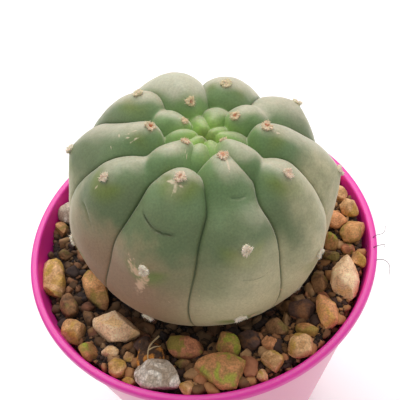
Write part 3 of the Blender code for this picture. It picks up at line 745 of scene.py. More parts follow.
def skin_material():
    """Thick succulent skin: satin under a waxy bloom, corky and tan at its foot, with painted light on its
    crests and on faces turned to the lamp, and painted shade on faces turned away and in its grooves.
    """
    material, add, shader = start_material(
        "waxy_succulent_skin", Roughness=0.55, IOR=1.45, Subsurface_Weight=0.08,
        Subsurface_Scale=1.2 * MM, Sheen_Roughness=0.3, Sheen_Tint=linear(DUST))
    value = {label: add("Attribute", attribute_name=label).outputs["Fac"]
             for label in ("arc", "azimuth", "sunk", "groove", "crease", "tip", "above_tip", "scar")}
    place = add("TexCoord").outputs
    for label, (width, detail) in SKIN_PATTERNS.items():
        value[label] = add("TexNoise", Vector=place["Object"], Scale=1 / (width * MM), Detail=detail)
    wander = add("Math MULTIPLY_ADD", value["blotch"], 2 * AGE_WANDER, -AGE_WANDER)
    value["age"] = add("Math ADD", value["arc"], wander)
    for label, azimuth in SIDES.items():
        value[label] = add("Math COSINE", add("Math SUBTRACT", value["azimuth"], math.radians(azimuth)))
    value["front"] = add("Math DIVIDE", add("SeparateXYZ", place["Object"]).outputs["Y"], MM)
    # How far a face turns to the lamp: the painted light and painted shade follow it.
    value["sunward"] = add("VectorMath DOT_PRODUCT", place["Normal"], PAINTED_LIGHT_DIRECTION)
    colour = linear(CROWN_GREEN)
    for tint, *fades in SKIN_LAYERS:
        share = 1.0
        for label, start, end, low, high in fades:
            fade = add("MapRange SMOOTHSTEP", value[label], start, end, low, high)
            share = add("Math MULTIPLY", fade, share)
        colour = add("Mix RGBA", share, colour, linear(tint))
    grains = add("Math MULTIPLY_ADD", value["mottle"], MOTTLE_IN_GRAIN, value["grain"])
    colour = add("Mix RGBA MULTIPLY", 1.0, colour, add("MapRange", grains, *GRAIN_SHADE))
    # Cork: thin streaks and blots with a frayed edge, raised a little.
    frayed = add("Math MULTIPLY_ADD", value["fray"], FRAYING, value["scar"])
    cork = add("MapRange SMOOTHSTEP", frayed, *CORK_COVER)
    aged = add("MapRange", value["arc"], *CORK_AGEING)
    colour = add("Mix RGBA", cork, colour, add("Mix RGBA", aged, linear(CORK), linear(OLD_CORK)))
    relief = add("Math MULTIPLY_ADD", cork, CORK_RELIEF, value["grain"])
    fill(shader, Base_Color=colour, Sheen_Weight=add("MapRange", value["arc"], *BLOOM_SHEEN),
         Normal=add("Bump", Strength=0.35, Distance=0.06 * MM, Height=relief))
    return material


def make_plant():
    helpers = {"Meridian": meridian_curve(), "Tubercles": tubercle_points(), "Creases": crease_points(),
               "Scars": scar_points()}
    plant = grow("cactus_skin", skin_tree(), body_to_world(), Rows=SKIN_ROWS, Columns=RIB_COLUMNS, Ribs=RIBS,
                 Per_Rib=len(helpers["Tubercles"].data.vertices) // RIBS, Crease_Count=len(CREASES),
                 Scar_Count=len(SCARS), Crowding=COLUMN_CROWDING, Cut=GROOVE_CUT, Cut_Width=GROOVE_CUT_WIDTH,
                 Skin=skin_material(), **helpers)
    for helper in helpers.values():
        bpy.data.objects.remove(helper)
    return plant


plant = make_plant()
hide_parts("cactus")
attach(plant, "root")


# ---------------------------------------------------------------- areoles
# The felt cushions on the tubercles' tips, where spines would stand: a ring of cream wool tufts round a
# rusty star of withered spine buds. Each is a low oval pad with a dimple, set with tufts and fine fibres.

AREOLE_LONG = 0.98  # half length, half width and half thickness of a grown pad
AREOLE_WIDE = 0.82
AREOLE_THICK = 0.4
AREOLE_ARCS = (4, 5.3, 6.3, 10, 16, 25, 60)  # distances from the apex at which the next list holds
AREOLE_SIZES = (0.45, 0.7, 0.95, 1.14, 1.12, 1.0, 1.2)
YOUTH_ARCS = (4, 30, 60)
YOUTHS = (1.0, 0.4, 0.0)
AREOLE_YOUNGEST_ARC = 4.2  # nearer to the apex the pads are too small to see
AREOLE_OLDEST_ARC = 59.0
DIMPLE = (0.15, 0.7, 0.45, 0.0)  # its depth, from one share of the pad's half length to the other
BARE_CENTRE = (0.25, 0.6, 1.0, 0.0)  # the bud colour's strength in the same way
PAD_LUMPS = 1.1  # how many to the millimetre, and how high
PAD_LUMPINESS = 0.95
TUFTS = 10
TUFT_LENGTH = 0.35
TUFT_WIDTH = 0.62  # times its length
TUFT_CIRCLE = 0.8  # the radius and the height at which the tufts stand on the pad
TUFT_RISE = 0.16
TUFT_TILTS = ((-0.2, -0.5, -0.25), (0.2, 0.1, 0.25))  # the least and the most, in radians
TUFT_SIZES = (0.5, 1.35)  # least and most, times its length
BUDS = 6
BUD_LENGTH = 0.42
BUD_WIDTHS = (0.15, 0.03)  # at its root and at its tip
BUD_LEAN = 1.1  # radians
BUD_CIRCLE = 0.07
BUD_RISE = 0.14
WOOL_LENGTH = 0.42
WOOL_WIDTH = 0.06  # at its root; real hairs are finer, too fine to show
WOOL_SPACING = 0.15
WOOL_LEANS = ((-0.7, -0.7, 0.0), (0.7, 0.7, 6.0))  # radians too
WOOL_SIZES = (0.5, 1.2)
WOOL_DENSITY = 90.0
WOOL_EDGE = 0.6  # how bare the pad is where its wool ends
# Old wool's white, painted brighter than it is: painted light on the old pads low on the plant.
OLD_WOOL_AND_PAINTED_LIGHT = "FFF4E0"
WOOL_CREAM = "ECDAA8"
WOOL_PINK = "E8C8AA"
BUD_ORANGE = "D8702E"
BUD_BROWN = "7A5230"
WOOL_MOTTLE = 0.4
# The next three are each a range of one measure, and what that gives at the range's two ends.
PINK_IN_FRONT = (20 * MM, -8 * MM, 0.0, 1.0)  # by the place from back to front: at the back it is yellow
FRESH_BUDS = (0.3, 0.7, 0.0, 1.0)  # by the pad's youth
WOOL_STAINS = (0.55, 0.75, 0.0, 0.35)  # by the mottling
# How rusty the star of a pad is, by rib and node; the others are nearly as pale as their wool.
RUST = {(6, 3): 1.0, (1, 3): 0.9, (2, 1): 0.9, (9, 2): 0.6, (8, 4): 0.45, (4, 2): 0.85, (5, 5): 0.4}
FAINT_RUST = 0.3


def areole_seats(plant):
    """Where the pads sit, as world millimetres: a point cloud with normal, outward direction and sizes."""
    tree = BVHTree.FromObject(plant, bpy.context.evaluated_depsgraph_get())
    radius, height = crest_profile()
    lengths = np.concatenate([[0.0], np.cumsum(np.hypot(np.diff(radius), np.diff(height)))])
    to_world = body_to_world()
    apex = to_world @ Vector((0, 0, CROWN_HEIGHT))
    seats = []
    for rib, node, azimuth, arc, proud, (left_behind, _, _) in tubercle_rows():
        arc += left_behind
        if not AREOLE_YOUNGEST_ARC < arc < AREOLE_OLDEST_ARC:
            continue
        if left_behind < 0:
            proud = 0
        r = np.interp(arc, lengths, radius) + proud
        z = np.interp(arc, lengths, height) + proud
        target = to_world @ Vector((r * math.cos(azimuth), r * math.sin(azimuth), z))
        place, normal, _, _ = tree.find_nearest(target)
        outward = (place - apex).cross(normal).cross(normal) * -1
        sizes = (np.interp(arc, AREOLE_ARCS, AREOLE_SIZES), np.interp(arc, YOUTH_ARCS, YOUTHS),
                 RUST.get((rib, node), FAINT_RUST))
        seats.append((place / MM, normal, outward.normalized(), sizes))
    return point_cloud("seats", **dict(zip(("position", "normal", "outward", "sizes"), zip(*seats))))


def off_axis(add, x, y):
    """Distance from an upright axis: a pad's own, or later the pot's."""
    return add("VectorMath LENGTH", add("CombineXYZ", x, y, 0.0))


def lumpy_offset(add, height, **noise):
    """An offset in all directions that a noise gives, so that a smooth shape gets lumps."""
    lumps = add("TexNoise", **noise).outputs["Color"]
    return add("VectorMath SCALE", add("VectorMath SUBTRACT", lumps, (0.5, 0.5, 0.5)), Scale=height)


def areole_tree():
    """Pads on their seats, each with a star of buds in its dimple and wool round it."""
    tree, add, get = new_tree(
        "areoles", Object="Seats", Int="Tufts Buds", Material="Felt",
        Float="Long Wide Thick Tuft_Length Bud_Length Wool_Length Wool_Width Wool_Spacing")
    normal, outward, sizes = (
        add("InputNamedAttribute FLOAT_VECTOR", label) for label in ("normal", "outward", "sizes"))
    size, youth, rust = add("SeparateXYZ", sizes).outputs
    upright = add("AlignRotationToVector", Vector=normal, axis="Z")
    turned = add("AlignRotationToVector", Rotation=upright, Vector=outward, axis="X", pivot_axis="Z")
    here = add("InputPosition")
    plump = add("RandomValue", *TUFT_SIZES, Seed=13)
    tuft_size = add("Math MULTIPLY", plump, get["Tuft_Length"])
    from_middle = add("AlignRotationToVector", Vector=here, axis="X", pivot_axis="Z")
    tilted = add("RotateRotation LOCAL", from_middle, add("RandomValue FLOAT_VECTOR", *TUFT_TILTS, Seed=12))

    # The pad: a low oval cushion with a dimple.
    x, y, z = add("SeparateXYZ", here).outputs
    off_centre = off_axis(add, x, y)
    above = add("Math GREATER_THAN", z, 0.0)
    dent = add("Math MULTIPLY", add("MapRange SMOOTHSTEP", off_centre, *DIMPLE), above)
    cushion = add("CombineXYZ", *(add("Math MULTIPLY", part, get[measure]) for part, measure in (
        (x, "Long"), (y, "Wide"), (add("Math SUBTRACT", z, dent), "Thick"))))
    bare = add("MapRange SMOOTHSTEP", off_centre, *BARE_CENTRE)
    pad = store(add, add("MeshUVSphere", Segments=20, Rings=12, Radius=1.0), centre=bare)
    parts = [add("SetPosition", pad, Position=cushion)]
    # The tufts, plump drops round the pad's edge, and the star, withered buds that spread from its dimple.
    drop = add("MeshUVSphere", Segments=8, Rings=6, Radius=1.0)
    drop = add("Transform", drop, Scale=(1.0, TUFT_WIDTH, TUFT_WIDTH))
    bud = add("MeshCone", Vertices=5, Side_Segments=3, Radius_Bottom=BUD_WIDTHS[0], Radius_Top=BUD_WIDTHS[1],
              Depth=get["Bud_Length"])
    bud = add("Transform", bud, Rotation=(0.0, BUD_LEAN, 0.0))
    for count, ring, shape, scale, rise, centre in (
            (get["Tufts"], TUFT_CIRCLE, drop, tuft_size, TUFT_RISE, 0.0),
            (get["Buds"], BUD_CIRCLE, bud, plump, BUD_RISE, 1.0)):
        circle = add("MeshCircle", count, ring)
        placed = add("InstanceOnPoints", circle, Instance=shape, Rotation=tilted, Scale=scale)
        raised = add("Transform", add("RealizeInstances", placed), Translation=(0.0, 0.0, rise))
        parts.append(store(add, raised, centre=centre))
    whole_pad = add("JoinGeometry")
    for part in parts:
        fill(whole_pad, part)
    seats = add("MeshToPoints", Mesh=add("ObjectInfo", get["Seats"]).outputs["Geometry"])
    placed = add("InstanceOnPoints", seats, Instance=whole_pad, Rotation=turned, Scale=size)
    for label, value in (("youth", youth), ("rust", rust)):
        placed = add("StoreNamedAttribute INSTANCE", placed, None, label, value)
    lumps = lumpy_offset(add, PAD_LUMPINESS, Scale=PAD_LUMPS, Detail=3.0)
    solid = add("SetPosition", add("RealizeInstances", placed), Offset=lumps)

    # The wool: three-sided fibres that stand out of the pad, but not out of its centre.
    felted = add("Compare LESS_THAN", add("InputNamedAttribute", "centre"), WOOL_EDGE)
    roots = add("DistributePointsOnFaces POISSON", solid, felted, Distance_Min=get["Wool_Spacing"],
                Density_Max=WOOL_DENSITY, Seed=3).outputs
    fibre = add("MeshCone", fill_type="NONE", Vertices=3, Side_Segments=2, Radius_Top=0.0,
                Radius_Bottom=get["Wool_Width"], Depth=get["Wool_Length"])
    lean = add("RandomValue FLOAT_VECTOR", *WOOL_LEANS, Seed=5)
    wool = add("InstanceOnPoints", roots["Points"], Instance=fibre,
               Rotation=add("RotateRotation LOCAL", roots["Rotation"], lean),
               Scale=add("RandomValue", *WOOL_SIZES, Seed=8))
    whole = add("JoinGeometry")
    for part in (solid, add("RealizeInstances", wool)):
        fill(whole, part)
    return end_tree(tree, whole, get["Felt"])


def felt_material():
    """Plant wool: matt and downy, white on old pads (whiter than the wool is, as painted light on the low
    pads), cream and pink on young ones, with a rusty star.
    """
    material, add, shader = start_material(
        "areole_wool", Roughness=0.95, Sheen_Weight=0.5, Sheen_Roughness=0.4, Subsurface_Weight=0.15,
        Subsurface_Scale=0.5 * MM)
    place = add("TexCoord").outputs["Object"]
    youth, centre, rust = (
        add("Attribute", attribute_name=label).outputs["Fac"] for label in ("youth", "centre", "rust"))
    pinkness = add("MapRange", add("SeparateXYZ", place).outputs["Y"], *PINK_IN_FRONT)
    young_wool = add("Mix RGBA", pinkness, linear(WOOL_CREAM), linear(WOOL_PINK))
    wool = add("Mix RGBA", youth, linear(OLD_WOOL_AND_PAINTED_LIGHT), young_wool)
    fresh = add("Math MULTIPLY", add("MapRange", youth, *FRESH_BUDS), pinkness)
    buds = add("Mix RGBA", fresh, linear(BUD_BROWN), linear(BUD_ORANGE))
    mottle = add("TexNoise", Vector=place, Scale=1 / (WOOL_MOTTLE * MM), Detail=3.0)
    stain = add("MapRange", mottle, *WOOL_STAINS)
    rusty = add("Math MAXIMUM", add("Math MULTIPLY", centre, rust), stain)
    fill(shader, Base_Color=add("Mix RGBA", rusty, wool, buds))
    return material


seats = areole_seats(plant)
areoles = grow("areoles", areole_tree(), Seats=seats, Long=AREOLE_LONG, Wide=AREOLE_WIDE, Thick=AREOLE_THICK,
               Tufts=TUFTS, Tuft_Length=TUFT_LENGTH, Buds=BUDS, Bud_Length=BUD_LENGTH,
               Wool_Length=WOOL_LENGTH, Wool_Width=WOOL_WIDTH, Wool_Spacing=WOOL_SPACING,
               Felt=felt_material())
bpy.data.objects.remove(seats)
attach(areoles, "root")


# ---------------------------------------------------------------- soil
# Dark peaty potting mix: a plug that fills the pot to just under the lip, with a crumbly top.
# It is heaped against the wall, most of all on one side.

SOIL_ROUGHNESS = 0.7
SOIL_GRAIN = 1.3  # width of a crumb
SOIL_DRIFT = 0.45  # a crumb's width as a share of a drift's
SOIL_CRUMB_FALL = (-0.6, 0.15)  # how a crumb falls off towards its edge, and what is added to it
SOIL_LEVEL = 0.45  # the height of drift and crumb that leaves the top where it is
SOIL_FACES_UP = 0.6  # the least upward part of the normal of a face that is made rough
SOIL_DUST = 0.9
SOIL_DRY = (0.45, 0.75, 0.0, 1.0)  # how dry it is, by its grain
SOIL_DARK = "1B120C"
SOIL_LIGHT = "4A3524"
SOIL_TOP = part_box("soil")[1].z / MM
HEAP = 3.2
HEAP_REACH = (23.0, 33.0)
HEAP_SIDE = -50.0
HEAP_TURN = (-0.5, 0.5)  # cosines from the heap's azimuth between which its share goes from low to high
HEAP_SHARES = (0.45, 1.0)


def given_shape(add, given):
    """The mesh of an object that a tree is given, in millimetres."""
    return add("Transform", add("ObjectInfo", given).outputs["Geometry"], Scale=(1 / MM,) * 3)


def upward(add, least):
    """Which faces look up at least this much."""
    return add("Compare", add("SeparateXYZ", add("InputNormal")).outputs["Z"], least)


def soil_tree():
    """The CAD soil with its top drawn finer and made crumbly; its sides stay clear of the pot."""
    tree, add, get = new_tree("soil_top", Object="Soil", Float="Roughness Heap", Material="Mix")
    merged = add("MergeByDistance", given_shape(add, get["Soil"]), Distance=0.001)
    here = add("InputPosition")
    finer = add("VectorMath SCALE", here, Scale=1 / SOIL_GRAIN)
    crumbs = add("TexVoronoi", Vector=finer, Scale=1.0).outputs["Distance"]
    drifts = add("TexNoise", Vector=finer, Scale=SOIL_DRIFT, Detail=3.0)
    both = add("Math ADD", drifts, add("Math MULTIPLY_ADD", crumbs, *SOIL_CRUMB_FALL))
    rise = add("Math MULTIPLY", add("Math SUBTRACT", both, SOIL_LEVEL), get["Roughness"])
    x, y, _ = add("SeparateXYZ", here).outputs
    turned = add("Math SUBTRACT", add("Math ARCTAN2", y, x), math.radians(HEAP_SIDE))
    side = add("MapRange", add("Math COSINE", turned), *HEAP_TURN, *HEAP_SHARES)
    heap = add("MapRange", off_axis(add, x, y), *HEAP_REACH, 0.0, get["Heap"])
    offset = add("CombineXYZ", 0.0, 0.0, add("Math MULTIPLY_ADD", heap, side, rise))
    finer_top = add("SubdivideMesh", merged, Level=2)
    rough = add("SetPosition", finer_top, upward(add, SOIL_FACES_UP), Offset=offset)
    return end_tree(tree, rough, get["Mix"])


def soil_material():
    """Peat and bark dust: matt, nearly black where it is damp, with brown crumbs."""
    material, add, shader = start_material("peat_mix", Roughness=0.95)
    place = add("TexCoord").outputs["Object"]
    grain = add("TexNoise", Vector=place, Scale=1 / (SOIL_DUST * MM), Detail=4.0, Roughness=0.65)
    dry = add("MapRange", grain, *SOIL_DRY)
    fill(shader, Base_Color=add("Mix RGBA", dry, linear(SOIL_DARK), linear(SOIL_LIGHT)),
         Normal=add("Bump", Strength=0.6, Distance=0.3 * MM, Height=grain))
    return material


soil = grow("soil_plug", soil_tree(), Soil=frame["nodes"]["soil"], Roughness=SOIL_ROUGHNESS, Heap=HEAP,
            Mix=soil_material())
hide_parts("soil")
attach(soil, "root")


# ---------------------------------------------------------------- laid gravel
# Broken river gravel laid by hand: sandstone, ironstone and quartz pebbles with chipped faces,
# dusty sides and a green film of algae on some.

STONE_SWELL = 1.18  # the pebbles touch, where the CAD ones keep a gap
STONE_SINK = 0.4
STONE_HEAP = 2.4  # how far the laid pebbles rise on the heap, and the share of it on the low side
STONE_HEAP_SHARES = (0.25, 1.0)
STONE_OUTWARD = 1.1  # how much nearer to the wall they lie
STONE_FINE_VERTICES = 1000  # CAD pebbles above this many loose corners are already finer
LARGE_STONE = 10.5  # those longer than this are drawn finer
EDGE_CREASE = 0.35
CHIPS = 10  # flat faces broken off each pebble
BLOCK_CHIPS = 3  # and off the grey block, which stays rounder
FIRST_SEED = 300
CHIP_SHARES = (0.66, 0.92)  # what is left of the pebble's reach on a broken side
CHIP_FLATNESS = 0.92
CHIP_AIMS = ((-1.0, -1.0, -0.4), (1.0, 1.0, 1.0))  # seldom from below
WEAR = {"Swell_Size": 3.2, "Swell_Depth": 0.5, "Pit_Size": 0.75, "Pit_Depth": 0.22}
# Light side, dark side and stain of each kind.
STONE_COLOURS = {
    "tan": ("E6B888", "A87A4C", "B08A3C"), "orange": ("DEA670", "AC7444", "967E3A"),
    "brown": ("9C7048", "5C4028", "7A6A34"), "pale": ("F8D8B0", "DCB088", "E8BC84"),
    "green": ("CC8A5C", "8A6A38", "8E9430"), "dark": ("60443A", "2E201A", "7A5030"),
    "grey": ("C2B2A0", "A08C78", "E8DED2"), "red": ("CA8660", "905840", "84782E"),
    "peach": ("EAAA7A", "BC7C50", "C89850"), "bark": ("5A3C26", "2C1C12", "D08838"),
}
VEINED = {"grey": "6E5E50"}  # kinds with fine lines between their crystals
MOTTLE_SIZE = 2.2
STAIN_SIZE = 3.7
CRYSTAL_SIZE = 1.3
STONE_GRAIN = 0.4
# The next five are each a range of one measure, and what that gives at the range's two ends.
LIGHT_SHARE = (0.35, 0.65, 0.0, 1.0)
STAIN_SHARE = (0.5, 0.62, 0.0, 0.9)
VEIN_SHARE = (0.02, 0.14, 0.4, 0.0)
STONE_SHADE = (0.3, 0.7, 0.72, 1.2)
STONE_PAINTED_SHADE_AND_LIGHT = (SOIL_TOP * MM, (SOIL_TOP + HEAP) * MM, 0.35, 1.24)  # painted shade low on a pebble and painted light at its top


def stone_tree():
    """One CAD pebble, made finer, chipped and pitted, and bedded a little into the soil."""
    tree, add, get = new_tree("weathered_pebble", Object="Stone", Int="Level Chips Seed", Vector="Move",
                              Float="Swell Swell_Size Swell_Depth Pit_Size Pit_Depth", Material="Rock")
    merged = add("MergeByDistance", given_shape(add, get["Stone"]), Distance=0.001)
    box = add("BoundBox", merged).outputs
    middle = add("VectorMath SCALE", add("VectorMath ADD", box["Min"], box["Max"]), Scale=0.5)
    fine = add("SubdivisionSurface", merged, Level=get["Level"], Edge_Crease=EDGE_CREASE)
    here = add("InputPosition")
    from_middle = add("VectorMath SUBTRACT", here, middle)
    # Chips: each cuts a flat face square to a random direction.
    now, end = repeat_zone(tree, get["Chips"], Stone=("GEOMETRY", fine))
    aim = add("RandomValue FLOAT_VECTOR", *CHIP_AIMS, now["Iteration"], get["Seed"])
    aim = add("VectorMath NORMALIZE", aim)
    along = add("VectorMath DOT_PRODUCT", from_middle, aim)
    farthest = add("AttributeStatistic", now["Stone"], Attribute=along).outputs["Max"]
    kept = add("RandomValue", *CHIP_SHARES, now["Iteration"], get["Seed"])
    beyond = add("Math SUBTRACT", along, add("Math MULTIPLY", farthest, kept))
    back = add("Math MULTIPLY", add("Math MAXIMUM", beyond, 0.0), -CHIP_FLATNESS)
    fill(end, Stone=add("SetPosition", now["Stone"], Offset=add("VectorMath SCALE", aim, Scale=back)))
    # Wear: soft swellings and pits.
    depth = 0.0
    for wear in ("Swell", "Pit"):
        scale = add("Math DIVIDE", 1.0, get[wear + "_Size"])
        noise = add("TexNoise", Vector=here, Scale=scale, Detail=3.0)
        depth = add("Math MULTIPLY_ADD", add("Math SUBTRACT", noise, 0.5), get[wear + "_Depth"], depth)
    offset = add("VectorMath SCALE", add("InputNormal"), Scale=depth)
    rough = add("SetPosition", end.outputs["Stone"], Offset=offset)
    swollen = add("VectorMath SCALE", from_middle, Scale=get["Swell"])
    bedded = add("VectorMath ADD", add("VectorMath ADD", middle, get["Move"]), swollen)
    return end_tree(tree, add("SetPosition", rough, Position=bedded), get["Rock"])


def stone_move(node):
    """How a pebble is bedded, in millimetres: up onto the heaped soil and out towards the wall."""
    low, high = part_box(node)
    middle = (low + high) / 2 / MM
    outward = Vector((middle.x, middle.y)).normalized()
    side = math.cos(math.atan2(middle.y, middle.x) - math.radians(HEAP_SIDE))
    heap = np.interp(middle.xy.length, HEAP_REACH, (0, STONE_HEAP))
    heap *= np.interp(side, HEAP_TURN, STONE_HEAP_SHARES)
    near_wall = np.interp(middle.xy.length, HEAP_REACH, (0, STONE_OUTWARD))
    return [float(outward.x * near_wall), float(outward.y * near_wall), float(heap - STONE_SINK)]


def stone_material(kind):
    """Dry gravel: matt and grainy, mottled over 2 mm, stained in patches, with painted shade low down and
    painted light at its top.
    """
    light, dark, stain = STONE_COLOURS[kind]
    material, add, shader = start_material(f"gravel_{kind}", Roughness=0.8, IOR=1.5)
    place = add("TexCoord").outputs["Object"]
    mottle = add("TexNoise", Vector=place, Scale=1 / (MOTTLE_SIZE * MM), Detail=4.0, Roughness=0.6)
    colour = add("Mix RGBA", add("MapRange", mottle, *LIGHT_SHARE), linear(dark), linear(light))
    patches = add("TexNoise", Vector=place, Scale=1 / (STAIN_SIZE * MM), Detail=3.0, Distortion=0.6)
    colour = add("Mix RGBA", add("MapRange", patches, *STAIN_SHARE), colour, linear(stain))
    if kind in VEINED:
        cells = add("TexVoronoi DISTANCE_TO_EDGE", Vector=place, Scale=1 / (CRYSTAL_SIZE * MM))
        colour = add("Mix RGBA", add("MapRange", cells, *VEIN_SHARE), colour, linear(VEINED[kind]))
    grain = add("TexNoise", Vector=place, Scale=1 / (STONE_GRAIN * MM), Detail=2.0)
    colour = add("Mix RGBA MULTIPLY", 1.0, colour, add("MapRange", grain, *STONE_SHADE))
    # Painted shade towards the soil and painted light higher up.
    foot = add("MapRange SMOOTHSTEP", add("SeparateXYZ", place).outputs["Z"], *STONE_PAINTED_SHADE_AND_LIGHT)
    fill(shader, Base_Color=add("Mix RGBA MULTIPLY", 1.0, colour, foot),
         Normal=add("Bump", Strength=0.5, Distance=0.12 * MM, Height=grain))
    return material


laid_stones = []
rocks = {kind: stone_material(kind) for kind in STONE_COLOURS}
pebble = stone_tree()
for part in frame["record"]["subparts"]:
    if part["material_slot"].startswith("stone_"):
        kind = part["material_slot"].removeprefix("stone_")
        number = part["node"][-2:]
        node = frame["nodes"][part["node"]]
        small = max(node.dimensions) < LARGE_STONE * MM
        stone = grow("gravel_" + number, pebble, Stone=node, Swell=STONE_SWELL, Seed=FIRST_SEED + int(number),
                     Level=2 if small or len(node.data.vertices) > STONE_FINE_VERTICES else 3,
                     Chips=BLOCK_CHIPS if kind == "grey" else CHIPS, Move=stone_move(part["node"]),
                     Rock=rocks[kind], **WEAR)
        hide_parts(part["node"])
        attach(stone, "root")
        laid_stones.append(stone)


# ---------------------------------------------------------------- bark and roots
# Leftovers in the mix: a chip of pine bark, a forked dry straw that lies on it, and dead root hairs
# that cling to the lip.

BARK_SIZE = (5.4, 8.8, 3.6)
BARK_PLACE = (-14.8, -26.4, 64.0)
BARK_TURN = -8.0
BARK_WEAR = {**WEAR, "Swell_Depth": 1.0, "Pit_Depth": 0.88}
STRAW = "CDB48A"
DEAD_ROOT = "4A3A30"
STRAND_TAPER = 0.6  # how much of its thickness a strand has lost at its end
# Each strand is its half thickness and the places that it runs through.
STRAWS = (
    (0.22, ((-12.4, -22.4, 65.4), (-14.0, -24.4, 66.4), (-14.9, -26.0, 66.6), (-15.2, -30.8, 65.6))),
    (0.18, ((-14.9, -26.0, 66.6), (-13.6, -25.6, 66.7), (-12.2, -25.2, 66.0))),
)
ROOT_HAIRS = (
    (0.1, ((36.6, -8.6, 63.4), (38.2, -9.2, 66.1), (40.3, -9.0, 66.2), (41.0, -8.0, 63.6))),
    (0.1, ((37.0, -12.0, 63.6), (38.8, -12.8, 66.2), (40.3, -13.6, 65.4), (40.4, -15.0, 62.8))),
    (0.09, ((37.0, -7.0, 63.6), (39.0, -6.4, 66.3), (41.2, -6.0, 66.6), (41.9, -4.6, 67.0))),
)


def make_strands(name, strands, finish, tint):
    """Thin matt roots in one even brown, each a smooth line through its places that tapers to its end."""
    curve = bpy.data.curves.new(name, "CURVE")
    curve.dimensions = "3D"
    curve.bevel_depth = MM  # times each knot's own radius
    curve.bevel_resolution = 1
    curve.resolution_u = 8
    curve.use_fill_caps = True
    for half, places in strands:
        spline = curve.splines.new("BEZIER")
        spline.bezier_points.add(len(places) - 1)
        for step, (knot, place) in enumerate(zip(spline.bezier_points, places)):
            knot.co = Vector(place) * MM
            knot.handle_left_type = "AUTO"
            knot.handle_right_type = "AUTO"
            knot.radius = half * (1 - STRAND_TAPER * step / (len(places) - 1))
    line = show("line", curve)
    material, _, _ = start_material(finish, Roughness=0.9, Base_Color=linear(tint))
    strands = show(name, evaluated_mesh(line), material)
    bpy.data.objects.remove(line)
    strands.data.shade_smooth()
    return strands


def make_bark():
    """A flat chip with broken edges, cut from a block by the same tree as the pebbles."""
    bpy.ops.mesh.primitive_cube_add(size=MM)
    block = bpy.context.object
    turned = Matrix.Rotation(math.radians(BARK_TURN), 4, "Z") @ Matrix.Diagonal((*BARK_SIZE, 1.0))
    block.data.transform(Matrix.Translation(Vector(BARK_PLACE) * MM) @ turned)
    bark = grow("bark_chip", pebble, Stone=block, Level=5, Swell=1.0, Chips=CHIPS, Seed=FIRST_SEED,
                Move=[0.0, 0.0, 0.0], Rock=rocks["bark"], **BARK_WEAR)
    bpy.data.objects.remove(block)
    return bark


bark = make_bark()
straws = make_strands("straws", STRAWS, "dry_straw", STRAW)
root_hairs = make_strands("root_hairs", ROOT_HAIRS, "dead_root", DEAD_ROOT)
for leftover in (bark, straws, root_hairs):
    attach(leftover, "root")


# ---------------------------------------------------------------- grit
# What lies between the laid pebbles: small pebbles, sharp grit and crumbs of bark.
# Each size is scattered on the soil's top by the same tree, clear of the plant and of the laid pebbles.

# Name: (least gap between two, half size, spread of sizes, clear of the pebbles, rings and segments, kinds).
SCATTERS = {
    "middle_pebbles": (3.1, 1.8, 0.25, 0.6, (10, 14), ("brown", "tan", "dark", "red", "green", "tan")),
    "small_pebbles": (2.0, 1.25, 0.35, 0.4, (8, 12), ("tan", "brown", "orange", "peach", "dark", "brown")),
    "grit": (1.0, 0.62, 0.45, 0.1, (5, 7), ("brown", "dark", "tan", "brown", "dark", "orange")),
    "bark_crumbs": (0.75, 0.42, 0.5, 0.0, (4, 6), ("dark", "dark", "brown")),
}
CRUMB_FORMS = ((0.75, 0.6, 0.5), (1.35, 1.0, 0.85))  # the least and the most of each half size
CRUMB_TURNS = ((-0.5, -0.5, 0.0), (0.5, 0.5, 6.28))  # radians
CRUMB_LUMPS = 0.7  # how many to the half size, and how high
CRUMB_LUMPINESS = 1.5
CRUMB_DENSITY = 3.0
CRUMB_FACES_UP = 0.3  # they lie on faces of the soil that look up at least this much
WALL_CLEARANCE = 1.2  # times the half size
PLANT_FOOT = 16.0  # nearer to the axis the plant hides everything
GRIT_DEPTH = 2.0  # none lies deeper than this below the soil's top
GRIT_MOTTLE = 0.9
GRIT_PAINTED_SHADE = (SOIL_TOP * MM, (SOIL_TOP + HEAP) * MM, 0.22, 0.95)  # painted shade: darker low down
